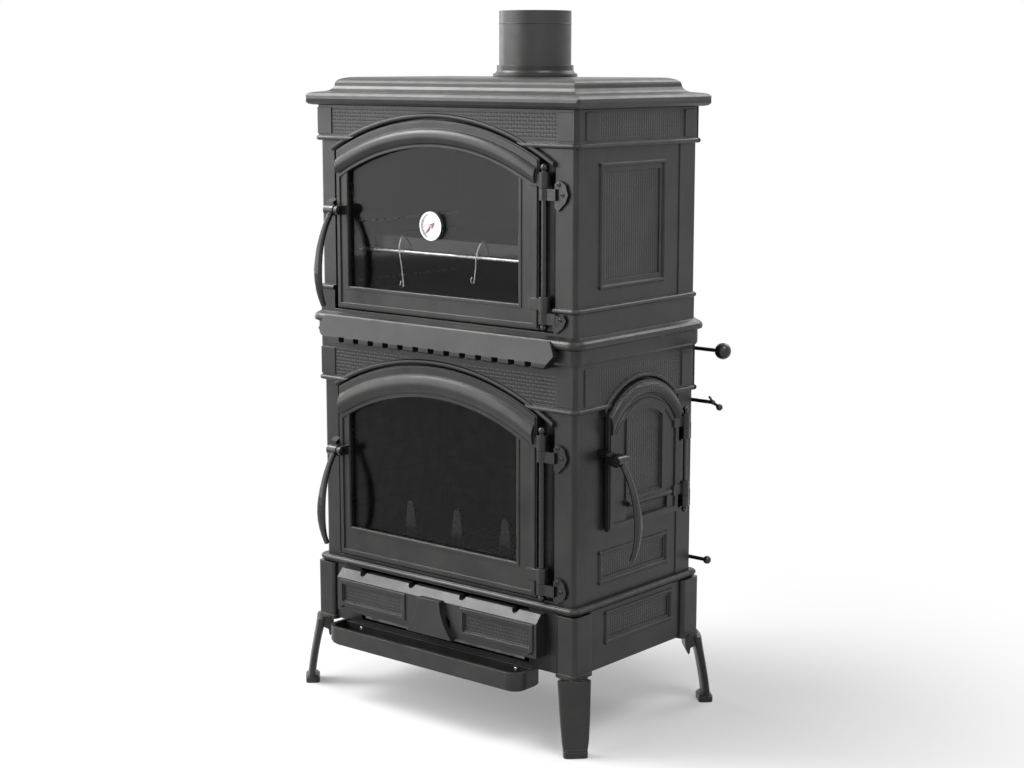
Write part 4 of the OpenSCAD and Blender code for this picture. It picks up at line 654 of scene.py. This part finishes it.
def rope_gasket(name, node, body, line, to_space, half_width, half_depth):
    """A rope along a line of a door, in place of the plain gasket of the solids."""
    line = eased(even_steps(line, ROPE_STEP))
    count = len(line)
    turns = round(count * ROPE_STEP / BRAID_PITCH)
    points = []
    for j, (u, z) in enumerate(line):
        before, after = line[j - 1], line[(j + 1) % count]
        run = (after[0] - before[0], after[1] - before[1])
        size = math.hypot(*run)
        across = (run[1] / size, -run[0] / size)
        phase = 2 * math.pi * turns * j / count
        for i in range(ROPE_SIDES):
            a = 2 * math.pi * i / ROPE_SIDES
            strand = max(math.sin(2 * a + phase), math.sin(2 * a - phase))
            swell = 1 - BRAID_RELIEF + BRAID_RELIEF * strand
            off = half_width * swell * math.cos(a)
            depth = half_depth * swell * math.sin(a)
            points.append(to_space(u + across[0] * off, z + across[1] * off, depth))
    faces = ring_faces(0, count, ROPE_SIDES, True)
    rope_piece = add_piece(name, points, faces, rope, body, "rope")
    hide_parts(node)
    return count


# Middle of the rope behind a front door, as y, and behind the side door, as x
FRONT_ROPE_Y = -0.18605
SIDE_ROPE_X = 0.3423


def behind_front_door(u, z, depth):
    return (u, FRONT_ROPE_Y + depth, z)


def behind_side_door(u, z, depth):
    return (SIDE_ROPE_X + depth, u, z)


steps = rope_gasket("oven_rope", "oven_gasket", "oven_door_leaf",
                    arched_line(-0.0165, 0.523, 0.838, 1.212, 0.573), behind_front_door, 0.0048, 0.0027)
steps += rope_gasket("fire_rope", "fire_gasket", "fire_door_leaf",
                     arched_line(-0.0195, 0.521, 0.306, 0.717, 0.560), behind_front_door, 0.0048, 0.0027)

steps += rope_gasket("side_rope", "side_gasket", "side_door_leaf",
                     arched_line(0.012, 0.216, 0.435, 0.704, 0.140), behind_side_door, 0.0046, 0.00195)
print("rope steps:", steps)

# %% [markdown]
# ### Screws and bolts
# Brackets, glass clips, the drawer front and the rear shield are held by
# turned screws. A button head with a hexagonal socket is one lathe profile:
# the outer rings are round and the rings of the socket are six-sided. A hex
# bolt has a round washer face below a six-sided head, and no socket.

# %% Screws
HEAD_SIDES = 24


def six_sided(angle):
    """Radius of a hexagon of unit reach across its corners at this angle."""
    sixth = math.pi / 3
    return math.cos(sixth / 2) / math.cos(angle % sixth - sixth / 2)


# Rings of each head from its seat up: share of the radius, share of the
# height, and 1 where the ring is six-sided
HEAD_PROFILES = {
    "socket": (
        (1.0, 0.0, 0), (1.0, 0.35, 0), (0.88, 0.75, 0), (0.62, 1.0, 0),
        (0.5, 1.0, 1), (0.48, 0.35, 1), (0.02, 0.3, 1),
    ),
    "hex": (
        (1.28, 0.0, 0), (1.28, 0.14, 0), (1.0, 0.16, 1), (1.0, 0.86, 1),
        (0.88, 1.0, 1), (0.02, 1.02, 0),
    ),
}


def add_heads(name, body, slot, finish, kind, radius, height, places, axis):
    """One mesh of equal heads; axis is the way they stand out."""
    profile = HEAD_PROFILES[kind]
    axis = Vector(axis)
    side = axis.orthogonal().normalized()
    up = axis.cross(side)
    points, faces = [], []
    for place in places:
        start = len(points)
        for reach, rise, six in profile:
            for i in range(HEAD_SIDES):
                a = 2 * math.pi * i / HEAD_SIDES
                r = radius * reach * (six_sided(a) if six else 1)
                around = side * r * math.cos(a) + up * r * math.sin(a)
                points.append(Vector(place) + around + axis * height * rise)
        faces += ring_faces(start, len(profile), HEAD_SIDES, False)
        last = start + (len(profile) - 1) * HEAD_SIDES
        faces.append(tuple(range(last, last + HEAD_SIDES)))
        faces.append(tuple(range(start + HEAD_SIDES - 1, start - 1, -1)))
    add_piece(name, points, faces, finish, body, slot, smooth=False)
    return len(places)


FRONT = (0, -1, 0)
RIGHT = (1, 0, 0)
BACK = (0, 1, 0)
DOWN = (0, 0, -1)
# Where the faces lie that the heads stand on: y, and x for the side brackets
SHIELD_FACE = 0.237
CLIP_FACE = -0.1873
LIP_FACE = -0.210
DRAWER_FACE = -0.235
SIDE_BRACKET_FACE = 0.347
# Height of the bolts of the ash lip, and of the rows of bolts of the shield
LIP_BOLT_HEIGHT = 0.141
SHIELD_BOLT_HEIGHTS = (0.347, 0.537, 0.878, 1.148)

total = add_heads("bracket_screws", "stove", "lever_black", lever, "socket", 0.0042, 0.0026, [
    (0.312, -0.208, 0.8515), (0.312, -0.203, 1.0885), (0.303, -0.203, 1.1075),
    (0.312, -0.203, 0.3155), (0.303, -0.203, 0.3345), (0.312, -0.203, 0.5815), (0.303, -0.203, 0.6005),
], FRONT)
total += add_heads("side_bracket_screws", "stove", "lever_black", lever, "socket", 0.0038, 0.0024,
                   [(SIDE_BRACKET_FACE, y, z) for y in (0.158, 0.175) for z in (0.4445, 0.5855)], RIGHT)
total += add_heads("shield_bolts", "stove", "bright_steel", bright, "hex", 0.0065, 0.0052,
                   [(x, SHIELD_FACE, z) for x in (-0.265, 0.265) for z in SHIELD_BOLT_HEIGHTS], BACK)
total += add_heads("lip_bolts", "stove", "bright_steel", bright, "socket", 0.0042, 0.0024,
                   [(x, LIP_FACE, LIP_BOLT_HEIGHT) for x in (-0.226, 0.204)], FRONT)
total += add_heads("lip_arm_bolts", "stove", "bright_steel", bright, "hex", 0.0058, 0.0045,
                   [(x, y, LIP_BOLT_HEIGHT) for x in (-0.211, 0.189) for y in (-0.18, -0.145)], DOWN)
total += add_heads("drawer_screws", "ash_drawer", "lever_black", lever, "socket", 0.0036, 0.0024,
                   [(x, DRAWER_FACE, 0.190) for x in (-0.259, 0.259)], FRONT)
total += add_heads("oven_clip_screws", "oven_door_leaf", "bright_steel", bright, "socket", 0.0032, 0.0020,
                   [(x, CLIP_FACE, z) for x in (-0.2625, 0.2195) for z in (0.926, 1.076)], BACK)
total += add_heads("fire_clip_screws", "fire_door_leaf", "bright_steel", bright, "socket", 0.0032, 0.0020,
                   [(x, CLIP_FACE, z) for x in (-0.2665, 0.2145) for z in (0.410, 0.560)], BACK)
print("screws and bolts:", total)

# %% [markdown]
# ### Oven thermometer
# The dial is an enamelled disc with a scale of numbers, a red arc for the hot
# end, and a flat lens held in the steel case. The scale runs three quarters
# round, and the needle stands at its cold end. The strokes are small blocks a
# tenth of a millimetre proud of the disc, as thick ink would be.

# %% Dial
DIAL_MIDDLE = (-0.024, 1.012)
DIAL_FACE_Y = -0.20035
DIAL_RADIUS = 0.0252
DISC_SIDES = 72
INK_RISE = 0.0001
SCALE_STEPS = 36
LONG_STROKES = 7
SCALE_RIM = 0.0238
# Share of the scale where the red arc for the hot end starts
RED_START = 0.72
RED_STEPS = 24


def on_dial(radius, angle, y):
    """A point of the dial, from its middle."""
    return (DIAL_MIDDLE[0] + radius * math.cos(angle), y, DIAL_MIDDLE[1] + radius * math.sin(angle))


def disc(radius, y, thick, hole=0.0003):
    points = []
    for r, depth in ((hole, 0), (radius, 0), (radius, thick), (hole, thick)):
        for i in range(DISC_SIDES):
            points.append(on_dial(r, 2 * math.pi * i / DISC_SIDES, y + depth))
    return points, ring_faces(0, 4, DISC_SIDES, True)


def scale_angle(share):
    """Angle of a stroke; the scale starts low on the left and runs clockwise."""
    return math.radians(225 - 270 * share)


def strokes(shares, r0, r1, width):
    points, faces = [], []
    for share in shares:
        a = scale_angle(share)
        out = (math.cos(a), math.sin(a))
        side = (-out[1] * width / 2, out[0] * width / 2)
        start = len(points)
        for y in (DIAL_FACE_Y - INK_RISE, DIAL_FACE_Y + INK_RISE):
            for r, s in ((r0, 1), (r1, 1), (r1, -1), (r0, -1)):
                x, _, z = on_dial(r, a, y)
                points.append((x + side[0] * s, y, z + side[1] * s))
        for face in ((0, 1, 2, 3), (7, 6, 5, 4), (0, 4, 5, 1), (1, 5, 6, 2), (2, 6, 7, 3), (3, 7, 4, 0)):
            faces.append(tuple(start + i for i in face))
    return points, faces


def red_arc(r0, r1):
    points = []
    for j in range(RED_STEPS + 1):
        a = scale_angle(RED_START + (1 - RED_START) * j / RED_STEPS)
        for r, depth in ((r0, -INK_RISE), (r1, -INK_RISE), (r1, INK_RISE), (r0, INK_RISE)):
            points.append(on_dial(r, a, DIAL_FACE_Y + depth))
    faces = ring_faces(0, RED_STEPS + 1, 4, False)
    last = len(points) - 4
    return points, faces + [(3, 2, 1, 0), tuple(range(last, last + 4))]


short = [i / SCALE_STEPS for i in range(SCALE_STEPS + 1)]
long = [i / (LONG_STROKES - 1) for i in range(LONG_STROKES)]
add_piece("dial_face", *disc(DIAL_RADIUS, DIAL_FACE_Y, 0.0003, 0.0016),
          dial_paint, "oven_door_leaf", "bright_steel")
add_piece("dial_strokes", *strokes(short, 0.0218, SCALE_RIM, 0.0004),
          dial_ink, "oven_door_leaf", "lever_black", smooth=False)
add_piece("dial_long_strokes", *strokes(long, 0.0198, SCALE_RIM, 0.0008),
          dial_ink, "oven_door_leaf", "lever_black", smooth=False)
add_piece("dial_red_arc", *red_arc(0.0178, 0.0190), dial_red, "oven_door_leaf", "needle", smooth=False)
add_piece("dial_lens_disc", *disc(DIAL_RADIUS, -0.2044, 0.0006), lens, "oven_door_leaf", "door_glass")
print("dial strokes:", len(short) + len(long))

# %% Numbers of the dial
NUMBER_STEP = 100
NUMBER_SIZE = 0.0052
NUMBER_RADIUS = 0.0148

for i, share in enumerate(long):
    letters = bpy.data.curves.new(f"dial_number_{i}", "FONT")
    letters.body = str(i * NUMBER_STEP)
    letters.size = NUMBER_SIZE
    letters.align_x = "CENTER"
    letters.align_y = "CENTER"
    letters.extrude = INK_RISE
    number = bpy.data.objects.new(f"dial_number_{i}", letters)
    number.location = on_dial(NUMBER_RADIUS, scale_angle(share), DIAL_FACE_Y - INK_RISE)
    number.rotation_euler = (math.radians(90), 0, 0)
    letters.materials.append(dial_ink.material)
    bpy.context.scene.collection.objects.link(number)
    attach(number, "oven_door_leaf")
print("dial numbers:", len(long))

# %% [markdown]
# ### Hooks of the oven tray
# Two wire hooks hang over the front rim of the tray, and with them the hot
# tray is drawn forward. Each is one length of round wire: over the rim, down
# past the front wire of the rack, and curled at its foot for a finger. The
# wire follows a smooth curve through a few points, and its ends are closed.

# %% Tray hooks
HOOK_RADIUS = 0.0016


def smooth_path(knots, per_span=8):
    """Catmull-Rom curve through the knots."""
    out = []
    padded = [knots[0]] + list(knots) + [knots[-1]]
    for a, b, c, d in zip(padded, padded[1:], padded[2:], padded[3:]):
        for i in range(per_span):
            t = i / per_span
            slope = (c - a) * t
            bend = (2 * a - 5 * b + 4 * c - d) * t * t
            twist = (3 * b - a - 3 * c + d) * t ** 3
            out.append(0.5 * (2 * b + slope + bend + twist))
    return out + [knots[-1]]


def wire(knots, radius, sides=10):
    path = smooth_path([Vector(k) for k in knots])
    points = []
    side = Vector((1, 0, 0))
    for j, place in enumerate(path):
        run = (path[min(j + 1, len(path) - 1)] - path[max(j - 1, 0)]).normalized()
        side = (side - run * side.dot(run)).normalized()
        up = run.cross(side)
        for i in range(sides):
            a = 2 * math.pi * i / sides
            points.append(place + side * radius * math.cos(a) + up * radius * math.sin(a))
    faces = ring_faces(0, len(path), sides, False)
    return points, faces + [tuple(range(sides - 1, -1, -1)), tuple(range(len(points) - sides, len(points)))]


def tray_hook(x, lean, foot):
    """Knots of one hook; the tray's rim is at z 0.980 and the rack's wire at y -0.167."""
    return (
        (x, -0.1440, 0.9660), (x, -0.1440, 0.9790), (x, -0.1485, 0.9830),
        (x + 0.1 * lean, -0.1560, 0.9790), (x + 0.25 * lean, -0.1670, 0.9620),
        (x + 0.4 * lean, -0.1700, 0.9480), (x + 0.6 * lean, -0.1700, 0.9290),
        (x + 0.8 * lean, -0.1705, foot + 0.024), (x + lean, -0.1730, foot + 0.004),
        (x + lean, -0.1790, foot), (x + lean, -0.1822, foot + 0.007), (x + lean, -0.1795, foot + 0.014),
    )


hooks = (("tray_hook_left", -0.150, 0.022, 0.878), ("tray_hook_right", 0.069, -0.004, 0.900))
for name, x, lean, foot in hooks:
    add_piece(name, *wire(tray_hook(x, lean, foot), HOOK_RADIUS), bright, "stove", "bright_steel")
print("tray hooks:", len(hooks))

# %% [markdown]
# ### The seam of the flue pipe
# The pipe is rolled from sheet and closed with a lapped weld, which is turned
# to the back. A thin rolled bead runs round the pipe a little below its upper
# end, where the next length stops. Both are swept sections: a low arc for the
# seam and a round for the bead.

# %% Flue seam and bead
FLUE_MIDDLE = (0.0, 0.097)
FLUE_RADIUS = 0.075
SEAM_FOOT = 1.3295
SEAM_TOP = 1.4385
SEAM_RINGS = 28
# Section of the seam: across, and rise over the pipe
SEAM_SECTION = ((-0.0055, -0.0008), (-0.004, 0.0007), (0.0, 0.0015), (0.004, 0.0007), (0.0055, -0.0008))
SEAM_RIPPLE = 0.00025
BEAD_HEIGHT = 1.4135
BEAD_RADIUS = 0.0011
BEAD_RINGS = 96
BEAD_SIDES = 10


def on_pipe(angle, rise, z):
    """A point beside the pipe's wall, at this angle round its axis."""
    r = FLUE_RADIUS + rise
    return (FLUE_MIDDLE[0] + r * math.cos(angle), FLUE_MIDDLE[1] + r * math.sin(angle), z)


def flue_seam():
    points = []
    for j in range(SEAM_RINGS):
        z = SEAM_FOOT + (SEAM_TOP - SEAM_FOOT) * j / (SEAM_RINGS - 1)
        ripple = SEAM_RIPPLE * math.sin(j * 2.1)
        for across, rise in SEAM_SECTION:
            on_crown = ripple if across == 0 else 0
            points.append(on_pipe(math.pi / 2 + across / FLUE_RADIUS, rise + on_crown, z))
    sides = len(SEAM_SECTION)
    faces = ring_faces(0, SEAM_RINGS, sides, False)
    return points, faces + [tuple(range(sides - 1, -1, -1)), tuple(range(len(points) - sides, len(points)))]


def flue_bead():
    points = []
    for j in range(BEAD_RINGS):
        a = 2 * math.pi * j / BEAD_RINGS
        for i in range(BEAD_SIDES):
            b = 2 * math.pi * i / BEAD_SIDES
            points.append(on_pipe(a, BEAD_RADIUS * math.cos(b), BEAD_HEIGHT + BEAD_RADIUS * math.sin(b)))
    return points, ring_faces(0, BEAD_RINGS, BEAD_SIDES, True)


add_piece("flue_seam", *flue_seam(), flue, "stove", "flue_steel")
add_piece("flue_bead", *flue_bead(), flue, "stove", "flue_steel")
print("flue dressed")
